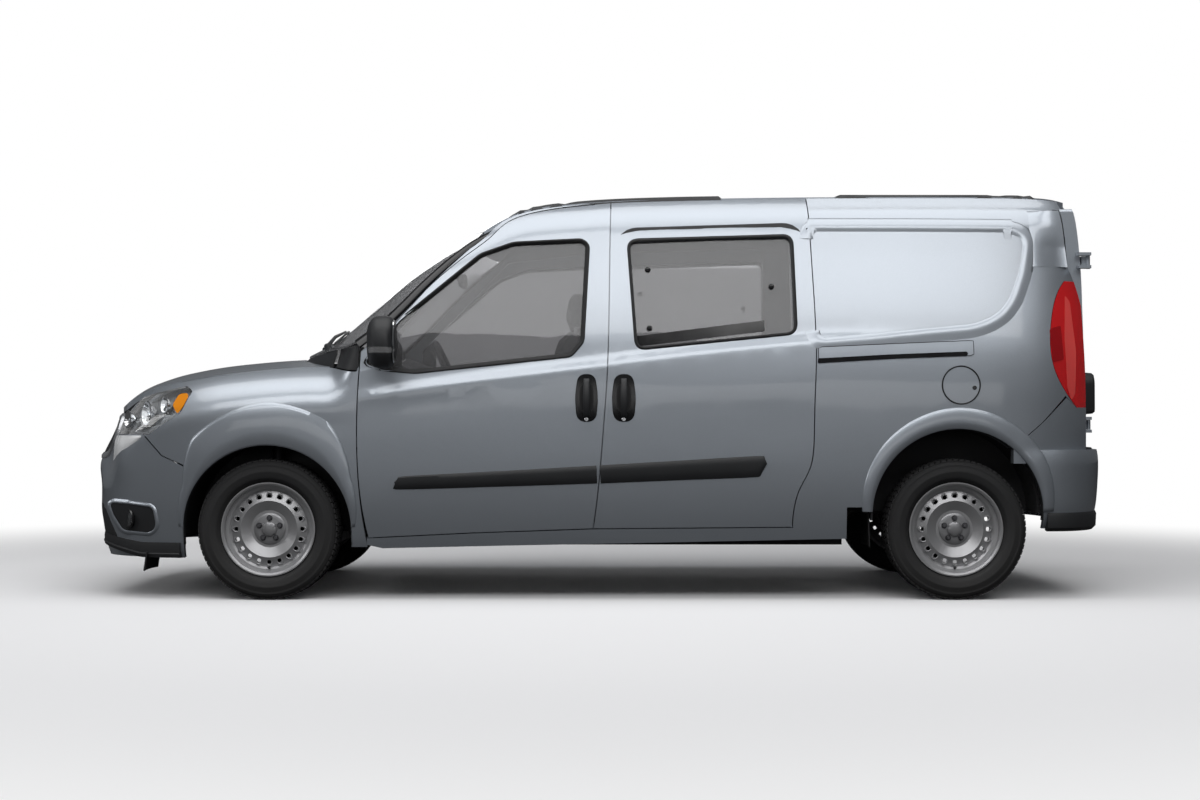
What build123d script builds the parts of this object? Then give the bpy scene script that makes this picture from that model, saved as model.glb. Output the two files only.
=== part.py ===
"""Compact cargo van: hollow body, hinged doors, hood, flap, steering and wheels.

Millimetres. +Z up, the van faces -X, its left side is at -Y, and the origin is on the ground
under the middle of the body.
"""
from build123d import *
from math import cos, hypot, pi, radians, sin
import os

os.makedirs("parts", exist_ok=True)

# ---- driving dimensions ----
front_axle_x = -1488
rear_axle_x = 1617
half_width = 915
roof_height = 1872
half_track = 762
tyre_radius = 318
tyre_width = 215
rim_radius = 212
kingpin_y = 700
front_arch_radius = 380
rear_arch_radius = 385
rear_arch_rise = 68

door_thickness = 60
frame_thickness = 40
frame_gap = 14
panel_gap = 5
fender_thickness = 16
bumper_thickness = 36
roof_thickness = 32
hood_thickness = 26
glass_thickness = 5
glass_inset = 14
glass_fit = 0.3
floor_thickness = 26
cab_floor_z = 318
load_floor_z = 548
bulkhead_top = 1010

LEFT = -1
RIGHT = 1
SIDES = {"left": LEFT, "right": RIGHT}
REACH = 3000
surface_tolerance = 1.0


# ---- stations: distances are measured from an axle, the ground or the roof ----
def front(dx):
    return front_axle_x + dx


def rear(dx):
    return rear_axle_x + dx


def under_roof(drop):
    return roof_height - drop


def clamp(value, low=0.0, high=1.0):
    return max(low, min(high, value))


def ease(value):
    t = clamp(value)
    return t * t * (3 - 2 * t)


def through(*points):
    """A smooth function through (place, value) points that never overshoots them."""
    xs = [p[0] for p in points]
    vs = [p[1] for p in points]
    steps = [(vs[i + 1] - vs[i]) / (xs[i + 1] - xs[i]) for i in range(len(xs) - 1)]
    slopes = [steps[0]]
    for a, b in zip(steps, steps[1:]):
        slopes.append(2 * a * b / (a + b) if a * b > 0 else 0.0)
    slopes.append(steps[-1])

    def value(x):
        if x <= xs[0]:
            return vs[0] + slopes[0] * (x - xs[0])
        if x >= xs[-1]:
            return vs[-1] + slopes[-1] * (x - xs[-1])
        i = max(k for k in range(len(xs) - 1) if xs[k] <= x)
        h = xs[i + 1] - xs[i]
        t = (x - xs[i]) / h
        return (
            vs[i] * (1 + 2 * t) * (1 - t) ** 2
            + slopes[i] * h * t * (1 - t) ** 2
            + vs[i + 1] * t * t * (3 - 2 * t)
            + slopes[i + 1] * h * t * t * (t - 1)
        )

    return value


# ---- the body's outer surfaces ----
hood_line = through(
    (front(-850), 760), (front(-815), 850), (front(-765), 915), (front(-662), 985),
    (front(-486), 1043), (front(-257), 1082), (front(62), 1108), (front(200), 1112),
)
roof_line = through(
    (front(-40), 1045), (front(62), 1110), (front(193), 1177), (front(336), 1290), (front(579), 1504),
    (front(803), under_roof(205)), (front(952), under_roof(117)), (front(1110), under_roof(66)),
    (front(1338), under_roof(35)), (front(1588), under_roof(18)), (front(1988), under_roof(7)),
    (rear(-506), under_roof(0)), (rear(83), under_roof(0)), (rear(437), under_roof(3)),
    (rear(540), under_roof(14)), (rear(650), under_roof(40)),
)
screen_bow = 150
roof_crown = 30
hood_crown = 50
nose_bow = 80
crown_reach = 700


def roof_top(x, y):
    """Height of the windshield and roof surface."""
    q = (y / crown_reach) ** 2
    bow = screen_bow * (1 - ease((x - front(900)) / 700))
    crown = roof_crown * ease((x - front(700)) / 800)
    return roof_line(x - bow * q) - crown * q


def hood_top(x, y):
    """Height of the hood surface."""
    q = (y / crown_reach) ** 2
    return hood_line(x - nose_bow * q) - hood_crown * q


plan_inset = through(
    (front(-900), 430), (front(-800), 290), (front(-700), 165), (front(-600), 98), (front(-450), 46),
    (front(-250), 16), (front(0), 4), (front(400), 8), (front(1500), 0), (rear(-300), 0),
    (rear(0), 2), (rear(250), 12), (rear(400), 32), (rear(500), 62), (rear(580), 112), (rear(660), 200),
)
side_lean = through(
    (180, 62), (250, 38), (330, 24), (450, 10), (600, 2), (750, 0), (950, 0), (1100, 12), (1250, 38),
    (under_roof(420), 86), (under_roof(230), 138), (under_roof(130), 168), (under_roof(20), 203),
)
belt_line = through(
    (front(0), 860), (front(451), 913), (front(665), 946), (front(1523), 1055), (rear(-538), 1165),
    (rear(300), 1200),
)
belt_step = 13
belt_height = 52


def cantrail(x):
    """Height of the crease where the side turns in towards the roof."""
    return roof_top(x, crown_reach) - 60 - 70 * ease((x - front(500)) / 900)


def side_y(x, z):
    """Half width of the body side at a station and a height."""
    belt = ease((x - front(200)) / 400) * (1 - ease((x - rear(-620)) / 500))
    y = half_width - plan_inset(x) - side_lean(z)
    y -= belt_step * belt * ease((z - belt_line(x)) / belt_height)
    cab = ease((x - front(250)) / 150)
    if cab > 0:
        t = clamp((z - cantrail(x)) / 130, 0, 1.4)
        y -= cab * (24 * t + 58 * t ** 2.5)
    if cab < 1:
        t = clamp((z - hood_top(x, crown_reach) + 210) / 210, 0, 1.3)
        y -= (1 - cab) * 165 * t ** 2.4
    return y


def meeting_height(x, top):
    """Height at which the side surface meets a top surface."""
    z = top(x, crown_reach)
    for _ in range(40):
        z += 0.5 * (top(x, side_y(x, z)) - z)
    return z


def rear_x(y, z):
    """Place of the rear doors' outer surface."""
    tilt = through((1000, 0), (under_roof(415), 12), (under_roof(159), 36), (under_roof(85), 56),
                   (under_roof(46), 85))
    return rear(608) + 95 * (1 - (y / 735) ** 2) - tilt(z) * ease((z - 900) / 100)


nose_line = through(
    (150, front(-812)), (190, front(-830)), (270, front(-848)), (411, front(-872)), (590, front(-872)),
    (680, front(-846)), (760, front(-812)), (850, front(-770)), (920, front(-705)), (985, front(-590)),
    (1010, front(-520)),
)


def spread(low, high, count):
    return [low + (high - low) * i / (count - 1) for i in range(count)]


def side_face(x_low, x_high, columns, levels, side, inset=0):
    """The side surface over a stretch of the body, as one smooth face."""
    rows = []
    for x in spread(x_low, x_high, columns):
        rows.append([Vector(x, side * (side_y(x, z) - inset), z) for z in levels(x)])
    return Face.make_surface_from_array_of_points(rows, tol=surface_tolerance, min_deg=3)


def cab_levels(x):
    belt = belt_line(x)
    crease = cantrail(x)
    low = spread(170, belt - 30, 9)
    band = [belt - 8, belt + 13, belt + 39, belt + 60]
    high = spread(belt + 100, max(crease - 20, belt + 140), 7)
    top = [max(crease, belt + 160) + d for d in (5, 35, 70, 105, 140, 175)]
    return low + band + high + top


def fender_levels(x):
    return spread(170, hood_top(x, crown_reach) + 55, 26)


def fender_levels_high(x):
    return spread(900, roof_top(x, crown_reach) + 40, 12)


def top_face(x_low, x_high, columns, y_reach, top):
    rows = []
    for x in spread(x_low, x_high, columns):
        rows.append([Vector(x, y, top(x, y)) for y in spread(-y_reach, y_reach, 17)])
    return Face.make_surface_from_array_of_points(rows, tol=surface_tolerance, min_deg=3)


def rear_face():
    rows = []
    for y in spread(-900, 900, 15):
        rows.append([Vector(rear_x(y, z), y, z) for z in spread(300, roof_height + 30, 25)])
    return Face.make_surface_from_array_of_points(rows, tol=surface_tolerance, min_deg=3)


def shift(points, dx=0, dz=0):
    return [(x + dx, z + dz) for x, z in points]


# ---- seams of the side, seen from the side ----
seam_fender = [(front(455), 281), (front(412), 570), (front(407), 800), (front(417), 1053)]
pillar_foot = (front(422), 1120)
seam_middle = [
    (front(1467), 323), (front(1497), 570), (front(1514), 785), (front(1527), 956), (front(1537), 1207),
    (front(1549), under_roof(92)),
]
seam_slide = [
    (rear(-743), 337), (rear(-736), 418), (rear(-713), 500), (rear(-668), 590), (rear(-650), 680),
    (rear(-646), 814), (rear(-635), 1130), (rear(-640), 1400), (rear(-648), 1640),
    (rear(-653), under_roof(70)),
]
door_sill = [(front(455), 281), (front(923), 304), (front(1467), 323)]
slide_sill = [(front(1467), 323), (rear(-743), 330)]


def roof_edge(x_low, x_high, drop, count=9):
    """Points just under the line where the side meets the roof."""
    return [(x, meeting_height(x, roof_top) - drop) for x in spread(x_low, x_high, count)]


def pillar_edge(x_low, x_high, drop_low, drop_high, count=9):
    """Points under the windshield pillar, which thins towards the roof."""
    points = []
    for i, x in enumerate(spread(x_low, x_high, count)):
        drop = drop_low + (drop_high - drop_low) * i / (count - 1)
        points.append((x, meeting_height(x, roof_top) - drop))
    return points


pillar_drop = 44
roof_drop = 10
front_door_head = pillar_edge(front(435), front(1000), pillar_drop, pillar_drop, 7)
front_door_crown = pillar_edge(front(1060), front(1546), 26, roof_drop, 5)
window_front = [
    (front(436), 1066), (front(520), 1038), (front(668), 1026), (front(1367), 1101), (front(1421), 1165),
    (front(1445), under_roof(262)), (front(1415), under_roof(238)), (front(1103), under_roof(254)),
    (front(955), under_roof(307)), (front(595), 1262),
]
window_slide = [
    (front(1625), under_roof(232)), (rear(-731), under_roof(210)), (rear(-722), 1202), (front(1661), 1129),
]


# ---- side panels ----
def side_block(side, x_low, x_high, columns, levels, depth, inset=0):
    """A slab that follows the side surface and goes straight inwards."""
    with BuildPart() as block:
        extrude(
            to_extrude=side_face(x_low, x_high, columns, levels, side, inset),
            amount=depth,
            dir=(0, -side, 0),
        )
    return block.part


def across(outline, mode):
    """Push an outline seen from the side through the whole width."""
    extrude(to_extrude=outline, amount=REACH, both=True, mode=mode)


def front_door_outline(grow):
    """Front door's outline, grown or shrunk from the middle of its seams."""
    leading = shift(seam_fender, -grow) + shift([pillar_foot], -grow)
    trailing = shift(seam_middle, grow)
    head = shift(front_door_head[1:], 0, grow)
    crown = shift(front_door_crown, 0, grow)
    bottom = shift(door_sill, 0, -grow)
    bottom[0] = (leading[0][0], bottom[0][1])
    bottom[-1] = (trailing[0][0], bottom[-1][1])
    top_corner = (trailing[-1][0], crown[-1][1])
    with BuildSketch(Plane.XZ) as outline:
        with BuildLine():
            Spline(*([bottom[0]] + leading[1:]))
            Spline(*([leading[-1]] + head + crown[:-1] + [top_corner]))
            Spline(*([bottom[-1]] + trailing[1:-1] + [top_corner]))
            Polyline(*bottom)
        make_face()
    return outline.sketch


def slide_door_outline(grow):
    leading = shift(seam_middle, -grow)
    trailing = shift(seam_slide, grow)
    head = shift(roof_edge(leading[-1][0], trailing[-1][0], roof_drop, 6), 0, grow)
    bottom = shift(slide_sill, 0, -grow)
    low_left = (leading[0][0], bottom[0][1])
    low_right = (trailing[0][0], bottom[1][1])
    with BuildSketch(Plane.XZ) as outline:
        with BuildLine():
            Spline(*([low_left] + leading[1:-1] + [head[0]]))
            Spline(*head)
            Spline(*([low_right] + trailing[1:-1] + [head[-1]]))
            Line(low_left, low_right)
        make_face()
    return outline.sketch


def rounded_outline(points, radius, grow=0):
    with BuildSketch(Plane.XZ) as outline:
        with BuildLine():
            FilletPolyline(*points, radius=radius, close=True)
        make_face()
        if grow:
            offset(amount=grow)
    return outline.sketch


def straight_outline(*points):
    with BuildSketch(Plane.XZ) as outline:
        with BuildLine():
            Polyline(*points, close=True)
        make_face()
    return outline.sketch


sill_bottom = [(front(520), 234), (front(1100), 247), (rear(-500), 278)]
fuel_flap_x = rear(12)
fuel_flap_z = 968
fuel_flap_radius = 86
fuel_flap_thickness = 10
fuel_pocket_depth = 45
tail_light_outline = [
    (rear(509), under_roof(427)), (rear(466), under_roof(493)), (rear(437), under_roof(589)),
    (rear(442), 1034), (rear(499), 930), (rear(549), 868),
]
bumper_seam = [(rear(493), 920), (rear(380), 800), (rear(243), 683)]
rear_bumper_top = 676
rear_door_bottom = 684
rear_door_half = 727
rear_door_split = 150
corner_y = 745
rear_door_top = under_roof(92)


def corner_edge(low, high, count=7):
    """The body's rear corner, seen from the side."""
    return [(rear_x(corner_y, z), z) for z in spread(low, high, count)]


def arch_outline(x, radius, rise, widen=0):
    """A wheel arch: a half circle that stands on straight sides."""
    with BuildSketch(Plane.XZ) as outline:
        with Locations((x, tyre_radius + rise)):
            Circle(radius + widen)
        with Locations((x, tyre_radius + rise - radius)):
            Rectangle(2 * (radius + widen), 2 * radius)
    return outline.sketch


def tail_light_shape():
    with BuildSketch(Plane.XZ) as outline:
        with BuildLine():
            Spline(*tail_light_outline)
            Polyline(tail_light_outline[-1], (rear(700), tail_light_outline[-1][1]),
                     (rear(700), tail_light_outline[0][1]), tail_light_outline[0])
        make_face()
    return outline.sketch


lip_width = 25


def side_edge_points(x_low, x_high, top, gap, count):
    """Plan view of the line where the side meets a top surface."""
    points = []
    for x in spread(x_low, x_high, count):
        points.append((x, side_y(x, meeting_height(x, top)) - gap))
    return points


roof_skin = top_face(front(780), rear(760), 33, 780, roof_top)


def under_roof_skin(x_low, x_high, drop, lip):
    """The space over the roof panel's underside, inside the lips of the side panels."""
    with BuildPart() as space:
        extrude(to_extrude=roof_skin.moved(Location((0, 0, -drop))), amount=400, dir=(0, 0, 1))
        with BuildSketch(Plane.XY) as inside:
            with BuildLine():
                right = side_edge_points(x_low, x_high, roof_top, lip, 13)
                left = [(x, -y) for x, y in right]
                Spline(*right)
                Spline(*left)
                Line(right[0], left[0])
                Line(right[-1], left[-1])
            make_face()
        extrude(to_extrude=inside.sketch, amount=REACH, both=True, mode=Mode.INTERSECT)
    return space.part


def rear_door_space():
    """Room for the rear doors between the body's corners."""
    inner = [(x - door_thickness - panel_gap, z) for x, z in corner_edge(rear_door_bottom - panel_gap,
                                                                        rear_door_top + panel_gap, 6)]
    with BuildSketch(Plane.XZ) as outline:
        with BuildLine():
            Spline(*inner)
            Polyline(inner[-1], (rear(900), inner[-1][1]), (rear(900), inner[0][1]), inner[0])
        make_face()
    with BuildPart() as space:
        extrude(to_extrude=outline.sketch, amount=rear_door_half + panel_gap, both=True)
    return space.part


seat_fit = 0.3
stop_radius = 9
stop_fit = 0.9
stop_places = [(front(1458), 620), (front(504), 560), (front(1560), 620), (rear(-700), 1000)]
roof_space = under_roof_skin(front(890), rear(710), roof_thickness + seat_fit, lip_width)
roof_space_doors = under_roof_skin(front(890), rear(710), roof_thickness + panel_gap + 3, lip_width)
door_space = rear_door_space()

wall_thickness = door_thickness + frame_gap + frame_thickness
doorway_front = [
    (front(560), 345), (front(520), 700), (front(540), 1180), (front(1010), under_roof(225)),
    (front(1440), under_roof(175)), (front(1440), 1100), (front(1380), 370),
]
doorway_slide = [
    (front(1580), 380), (front(1600), under_roof(165)), (rear(-740), under_roof(150)),
    (rear(-730), 800), (rear(-800), 380),
]

stop_root = 4
fuel_stop_x = fuel_flap_x + 58
fuel_stop_radius = 7
fuel_stop_fit = 2.8
rear_hinge_x = 2245
rear_hinge_y = 735
rear_hinge_low = 790
rear_hinge_high = 1540
barrel_radius = 9
barrel_half = 22
lug_height = 14
leaf_length = 42

corner = corner_edge(420, under_roof(52))
roof_rail = roof_edge(front(1020), corner[-1][0], roof_drop, 13)
pillar = pillar_edge(front(450), front(970), 28, 24, 7)
with BuildSketch(Plane.XZ) as silhouette:
    with BuildLine():
        Spline(*(pillar + roof_rail))
        Line(roof_rail[-1], corner[-1])
        Spline(*corner)
        Polyline(corner[0], (rear(-500), 420), *reversed(sill_bottom), (front(450), 250), pillar[0])
    make_face()
body_silhouette = silhouette.sketch


def door_pocket(side, outline):
    """The space a side door fills, with the gap behind it."""
    with BuildPart() as pocket:
        add(side_block(side, front(380), rear(-560), 33, cab_levels, door_thickness + frame_gap + 200, -200))
        across(outline, Mode.INTERSECT)
    return pocket.part


def bar_across(x, z, radius, y_from, y_to):
    """A round bar across the van between two distances from its middle."""
    with BuildPart() as bar:
        with BuildSketch(Plane.XZ.offset(-y_from)):
            with Locations((x, z)):
                Circle(radius)
        extrude(amount=y_from - y_to)
    return bar.part


def hinge_leaf(side, low, height, outwards):
    """A rear door hinge's barrel with the leaf that holds it to the body, or to the door."""
    with BuildPart() as leaf:
        with BuildSketch(Plane.XY.offset(low)):
            with Locations((rear_hinge_x, side * rear_hinge_y)):
                Circle(barrel_radius)
            depth = rear_hinge_x - rear_x(rear_hinge_y + outwards * leaf_length, low) + barrel_radius
            with Locations((rear_hinge_x - depth / 2 + barrel_radius / 2,
                            side * (rear_hinge_y + outwards * leaf_length / 2))):
                Rectangle(depth, leaf_length)
        extrude(amount=height)
    return leaf.part


def hinge_lugs(z):
    """The heights where a rear hinge's fixed lugs start, under and over the door's barrel."""
    return z - barrel_half - seat_fit - lug_height, z + barrel_half + seat_fit


for name, side in SIDES.items():
    # front door
    with BuildPart() as door:
        add(side_block(side, front(380), front(1580), 17, cab_levels, door_thickness))
        across(front_door_outline(-panel_gap / 2), Mode.INTERSECT)
        add(roof_space_doors, mode=Mode.SUBTRACT)
        across(rounded_outline(window_front, 18), Mode.SUBTRACT)
    door.part.label = f"front_door_{name}"
    export_step(door.part, f"parts/front_door_{name}.step")

    with BuildPart() as pane:
        add(side_block(side, front(380), front(1580), 17, cab_levels, glass_thickness, glass_inset))
        across(rounded_outline(window_front, 18, -glass_fit), Mode.INTERSECT)
    pane.part.label = f"front_door_glass_{name}"
    export_step(pane.part, f"parts/front_door_glass_{name}.step")

    # sliding door
    with BuildPart() as slider:
        add(side_block(side, front(1440), rear(-560), 17, cab_levels, door_thickness))
        across(slide_door_outline(-panel_gap / 2), Mode.INTERSECT)
        add(roof_space_doors, mode=Mode.SUBTRACT)
        across(rounded_outline(window_slide, 45), Mode.SUBTRACT)
    slider.part.label = f"sliding_door_{name}"
    export_step(slider.part, f"parts/sliding_door_{name}.step")

    # body side: quarter panel, sill, pillars and the frame behind the doors
    flap_y = side_y(fuel_flap_x, fuel_flap_z)
    with BuildPart() as body_side:
        add(side_block(side, front(400), rear(660), 61, cab_levels, wall_thickness))
        across(body_silhouette, Mode.INTERSECT)
        across(arch_outline(rear_axle_x, rear_arch_radius, rear_arch_rise), Mode.SUBTRACT)
        add(roof_space, mode=Mode.SUBTRACT)
        add(door_space, mode=Mode.SUBTRACT)
        add(door_pocket(side, front_door_outline(panel_gap / 2)), mode=Mode.SUBTRACT)
        add(door_pocket(side, slide_door_outline(panel_gap / 2)), mode=Mode.SUBTRACT)
        for x, z in stop_places:
            depth = side_y(x, z) - door_thickness
            foot = depth - frame_gap - stop_root
            add(bar_across(x, z, stop_radius, side * foot, side * (depth - stop_fit)))
        across(rounded_outline(doorway_front, 45), Mode.SUBTRACT)
        across(rounded_outline(doorway_slide, 50), Mode.SUBTRACT)
        across(tail_light_shape(), Mode.SUBTRACT)
        light_foot = tail_light_outline[-1]
        bumper_space = straight_outline(*bumper_seam, (rear(243), 100), (rear(800), 100),
                                        (rear(800), light_foot[1]), light_foot)
        across(bumper_space, Mode.SUBTRACT)
        for low in hinge_lugs(rear_hinge_high):
            add(hinge_leaf(side, low, lug_height, 1))
        if side == LEFT:
            add(bar_across(fuel_flap_x, fuel_flap_z, fuel_flap_radius + panel_gap / 2, -REACH,
                           fuel_pocket_depth - flap_y), mode=Mode.SUBTRACT)
            add(bar_across(fuel_stop_x, fuel_flap_z, fuel_stop_radius, fuel_pocket_depth + stop_root - flap_y,
                           fuel_flap_thickness + fuel_stop_fit - flap_y))
    body_side.part.label = f"body_side_{name}"
    export_step(body_side.part, f"parts/body_side_{name}.step")

def facing_outline(points, radius, shrink=0):
    """An outline seen from the front or rear, as (y, z) points."""
    with BuildSketch(Plane.YZ) as outline:
        with BuildLine():
            FilletPolyline(*points, radius=radius, close=True)
        make_face()
        if shrink:
            offset(amount=-shrink)
    return outline.sketch


def facing_box(left, bottom, right, top, radius, shrink=0):
    """A rounded box outline seen from the rear."""
    return facing_outline(
        [(left + shrink, bottom + shrink), (right - shrink, bottom + shrink), (right - shrink, top - shrink),
         (left + shrink, top - shrink)],
        radius - shrink,
    )


def lengthwise(outline, low, high, mode):
    """Push an outline seen from the front along the van between two stations."""
    moved = outline.moved(Location((low, 0, 0)))
    extrude(to_extrude=moved, amount=high - low, dir=(1, 0, 0), mode=mode)


# ---- roof, windshield and hood ----
roof_front_line = through((0, front(870)), (300, front(885)), (560, front(930)), (700, front(985)))
screen_foot_line = through((0, front(70)), (300, front(100)), (560, front(185)), (740, front(300)))
hood_rear_line = through((0, front(50)), (300, front(75)), (560, front(155)), (740, front(262)))
hood_nose_line = through((0, front(-800)), (250, front(-790)), (450, front(-755)), (650, front(-680)))


def half_points(line, reach, count=4):
    return [(line(y), y) for y in spread(0, reach, count)]


roof_front = half_points(roof_front_line, 640)
screen_foot = half_points(screen_foot_line, 740)
hood_rear = half_points(hood_rear_line, 740)
hood_nose = half_points(hood_nose_line, 600)
header_half = 440


def plan_points(points, dx=0):
    """Points of one half of a line across the van, mirrored to both sides."""
    half = [(x + dx, y) for x, y in points]
    return [(x, -y) for x, y in reversed(half[1:])] + half


def plan_outline(front_line, rear_line, side_points):
    """A closed outline in plan from its front, rear and left and right edges."""
    with BuildSketch(Plane.XY) as outline:
        with BuildLine():
            Spline(*front_line)
            Spline(*rear_line)
            right = [front_line[-1]] + side_points + [rear_line[-1]]
            left = [(x, -y) for x, y in right]
            Spline(*right)
            Spline(*left)
        make_face()
    return outline.sketch


def up_through(outline, mode):
    extrude(to_extrude=outline, amount=REACH, both=True, mode=mode)


def rear_header_bar():
    """The beam over the rear doors, under the roof's skin."""
    with BuildPart() as bar:
        extrude(to_extrude=rear_face(), amount=door_thickness, dir=(-1, 0, 0))
        lengthwise(
            facing_box(-header_half, rear_door_top + panel_gap, header_half, roof_height + 20, 4),
            rear(0), rear(900), Mode.INTERSECT,
        )
        roof_block = top_face(rear(300), rear(760), 9, 760, roof_top)
        extrude(to_extrude=roof_block, amount=roof_thickness + 80, dir=(0, 0, -1), mode=Mode.INTERSECT)
    return bar.part


roof_side = side_edge_points(front(1090), rear(440), roof_top, lip_width + panel_gap + 4, 11)
rear_header = [(rear_x(y, under_roof(46)), y) for y in (0, 280, 480)]
with BuildPart() as roof_panel:
    extrude(to_extrude=roof_skin, amount=roof_thickness, dir=(0, 0, -1))
    up_through(
        plan_outline(plan_points(roof_front, panel_gap / 2), plan_points(rear_header), roof_side),
        Mode.INTERSECT,
    )
    add(rear_header_bar())
roof_panel.part.label = "roof_panel"
export_step(roof_panel.part, "parts/roof_panel.step")

screen_thickness = 9
screen_side = side_edge_points(front(480), front(900), roof_top, 1, 5)
with BuildPart() as windshield:
    screen_skin = top_face(front(-60), front(1080), 25, 860, roof_top)
    extrude(to_extrude=screen_skin, amount=screen_thickness, dir=(0, 0, -1))
    up_through(
        plan_outline(plan_points(screen_foot), plan_points(roof_front, -panel_gap / 2), screen_side),
        Mode.INTERSECT,
    )
windshield.part.label = "windshield"
export_step(windshield.part, "parts/windshield.step")

with BuildPart() as hood:
    hood_skin = top_face(front(-860), front(300), 25, 800, hood_top)
    extrude(to_extrude=hood_skin, amount=hood_thickness, dir=(0, 0, -1))
    hood_side = side_edge_points(front(-520), front(180), hood_top, fender_thickness + panel_gap, 7)
    up_through(
        plan_outline(plan_points(hood_nose), plan_points(hood_rear), hood_side),
        Mode.INTERSECT,
    )
hood.part.label = "hood"
export_step(hood.part, "parts/hood.step")

# ---- nose: one shell that the bumper, grille and lamps are cut from ----
nose_end = front(-330)


def nose_points(z, inset=0):
    """Half of the nose's outline at a height, from the wheel arch round to the middle."""
    tip = nose_line(z)
    side = [(x, side_y(x, z) - inset) for x in (nose_end, front(-430), front(-520), front(-600))]
    corner = [(tip + 165, min(775, side_y(tip + 165, z)) - inset),
              (tip + 88, min(680, side_y(tip + 88, z)) - inset), (tip + 34, 520)]
    corner = [(x + inset * 0.7, y) for x, y in corner]
    middle = [(tip + 8 + inset, 270), (tip + inset, 0)]
    side = [p for p in side if p[0] > corner[0][0] + 60 and p[1] > corner[0][1] + 12]
    return side, corner + middle


nose_levels = [190, 270, 350, 430, 520, 590, 650, 710, 770, 830, 880, 925, 970]


def nose_outline(z, inset):
    """The whole nose outline at a height, with evenly spaced points so that heights match."""
    side, rest = nose_points(z, inset)
    half = side + rest
    line = [(x, -y) for x, y in half] + [(x, y) for x, y in reversed(half[:-1])]
    curve = Spline(*line)
    return [(p.X, p.Y) for p in (curve.position_at(t) for t in spread(0, 1, 25))]


def nose_shell():
    """The nose's skin, as a closed loft of thick horizontal outlines."""
    sections = []
    for z in nose_levels:
        outer = nose_outline(z, 0)
        inner = nose_outline(z, bumper_thickness)
        with BuildSketch(Plane.XY.offset(z)) as section:
            with BuildLine():
                Spline(*outer)
                Spline(*inner)
                Line(outer[0], inner[0])
                Line(outer[-1], inner[-1])
            make_face()
        sections.append(section.sketch.face())
    with BuildPart() as shell:
        loft(sections=sections)
    return shell.part


nose = nose_shell()
bumper_top = 745
bumper_side_seam = [(front(-273), 560), (front(-480), 649), (front(-570), bumper_top)]
headlight_outline = [
    (front(-900), bumper_top + seat_fit), (front(-900), 866), (front(-700), 866), (front(-606), 920),
    (front(-380), 966), (front(-347), 943), (front(-389), 846), (front(-540), bumper_top + seat_fit),
]
lower_grille = [(-600, 425), (600, 425), (520, 262), (-520, 262)]
upper_grille = [(-640, 742), (-560, 836), (560, 836), (640, 742), (560, 640), (-560, 640)]

with BuildPart() as front_bumper:
    add(nose)
    across(
        straight_outline(
            (front(-1000), 186), (nose_end, 186), (nose_end, 582), *bumper_side_seam[1:],
            (front(-1000), bumper_top),
        ),
        Mode.INTERSECT,
    )
    across(arch_outline(front_axle_x, front_arch_radius, 0), Mode.SUBTRACT)
    lengthwise(facing_outline(upper_grille, 18), front(-1000), front(-500), Mode.SUBTRACT)
    lengthwise(facing_outline(lower_grille, 18), front(-1000), front(-500), Mode.SUBTRACT)
front_bumper.part.label = "front_bumper"
export_step(front_bumper.part, "parts/front_bumper.step")

grille_fit = 0.3
with BuildPart() as upper_fill:
    add(nose)
    lengthwise(facing_outline(upper_grille, 18, grille_fit), front(-1000), front(-500), Mode.INTERSECT)
with BuildPart() as lower_fill:
    add(nose)
    lengthwise(facing_outline(lower_grille, 18, grille_fit), front(-1000), front(-500), Mode.INTERSECT)
with BuildPart() as front_grille:
    add(upper_fill.part)
    add(lower_fill.part)
front_grille.part.label = "front_grille"
export_step(front_grille.part, "parts/front_grille.step")

# ---- headlights and fenders ----
def headlight_shape(grow=0.0):
    with BuildSketch(Plane.XZ) as outline:
        with BuildLine():
            FilletPolyline(*headlight_outline, radius=18, close=True)
        make_face()
        if grow:
            offset(amount=grow)
    return outline.sketch


lamp_gap = 0.3
lamp_inner = 648
with BuildPart() as lamp_left:
    add(nose)
    across(headlight_shape(), Mode.INTERSECT)
    lengthwise(facing_box(-half_width, 700, -lamp_inner, 1000, 4), front(-1000), front(-300), Mode.INTERSECT)
with BuildPart() as headlights:
    add(lamp_left.part)
    mirror(lamp_left.part, about=Plane.XZ)
headlights.part.label = "headlights"
export_step(headlights.part, "parts/headlights.step")

for name, side in SIDES.items():
    with BuildPart() as fender:
        extrude(
            to_extrude=side_face(front(-800), front(450), 27, fender_levels, side),
            amount=fender_thickness, dir=(0, -side, 0),
        )
        rear_edge = [(x - panel_gap / 2, z) for x, z in seam_fender]
        rear_edge[0] = (rear_edge[0][0], 240)
        edge_top = [(x, meeting_height(x, hood_top) - 3) for x in spread(front(-556), front(405), 16)]
        with BuildSketch(Plane.XZ) as silhouette:
            with BuildLine():
                Spline(*rear_edge)
                Line(rear_edge[-1], edge_top[-1])
                Spline(*edge_top)
                Polyline(edge_top[0], (edge_top[0][0], 760), *reversed(shift(bumper_side_seam, 4, 4)),
                         (front(-200), 240), rear_edge[0])
            make_face()
        across(silhouette.sketch, Mode.INTERSECT)
        across(headlight_shape(lamp_gap), Mode.SUBTRACT)
        across(arch_outline(front_axle_x, front_arch_radius, 0), Mode.SUBTRACT)
    fender.part.label = f"fender_{name}"
    export_step(fender.part, f"parts/fender_{name}.step")

# ---- rear bumper, tail lights and rear doors ----
tail_points = [
    (rear(249), 0), (rear(400), 14), (rear(520), 36), (rear(600), 92), (rear(668), 190),
    (rear(716), 360), (rear(741), 620), (rear(750), half_width),
]
rear_bumper_levels = [322, 400, 500, 600, rear_bumper_top]
rear_bumper_tuck = through((322, 50), (400, 14), (500, 4), (600, 0), (rear_bumper_top, 6))


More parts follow.
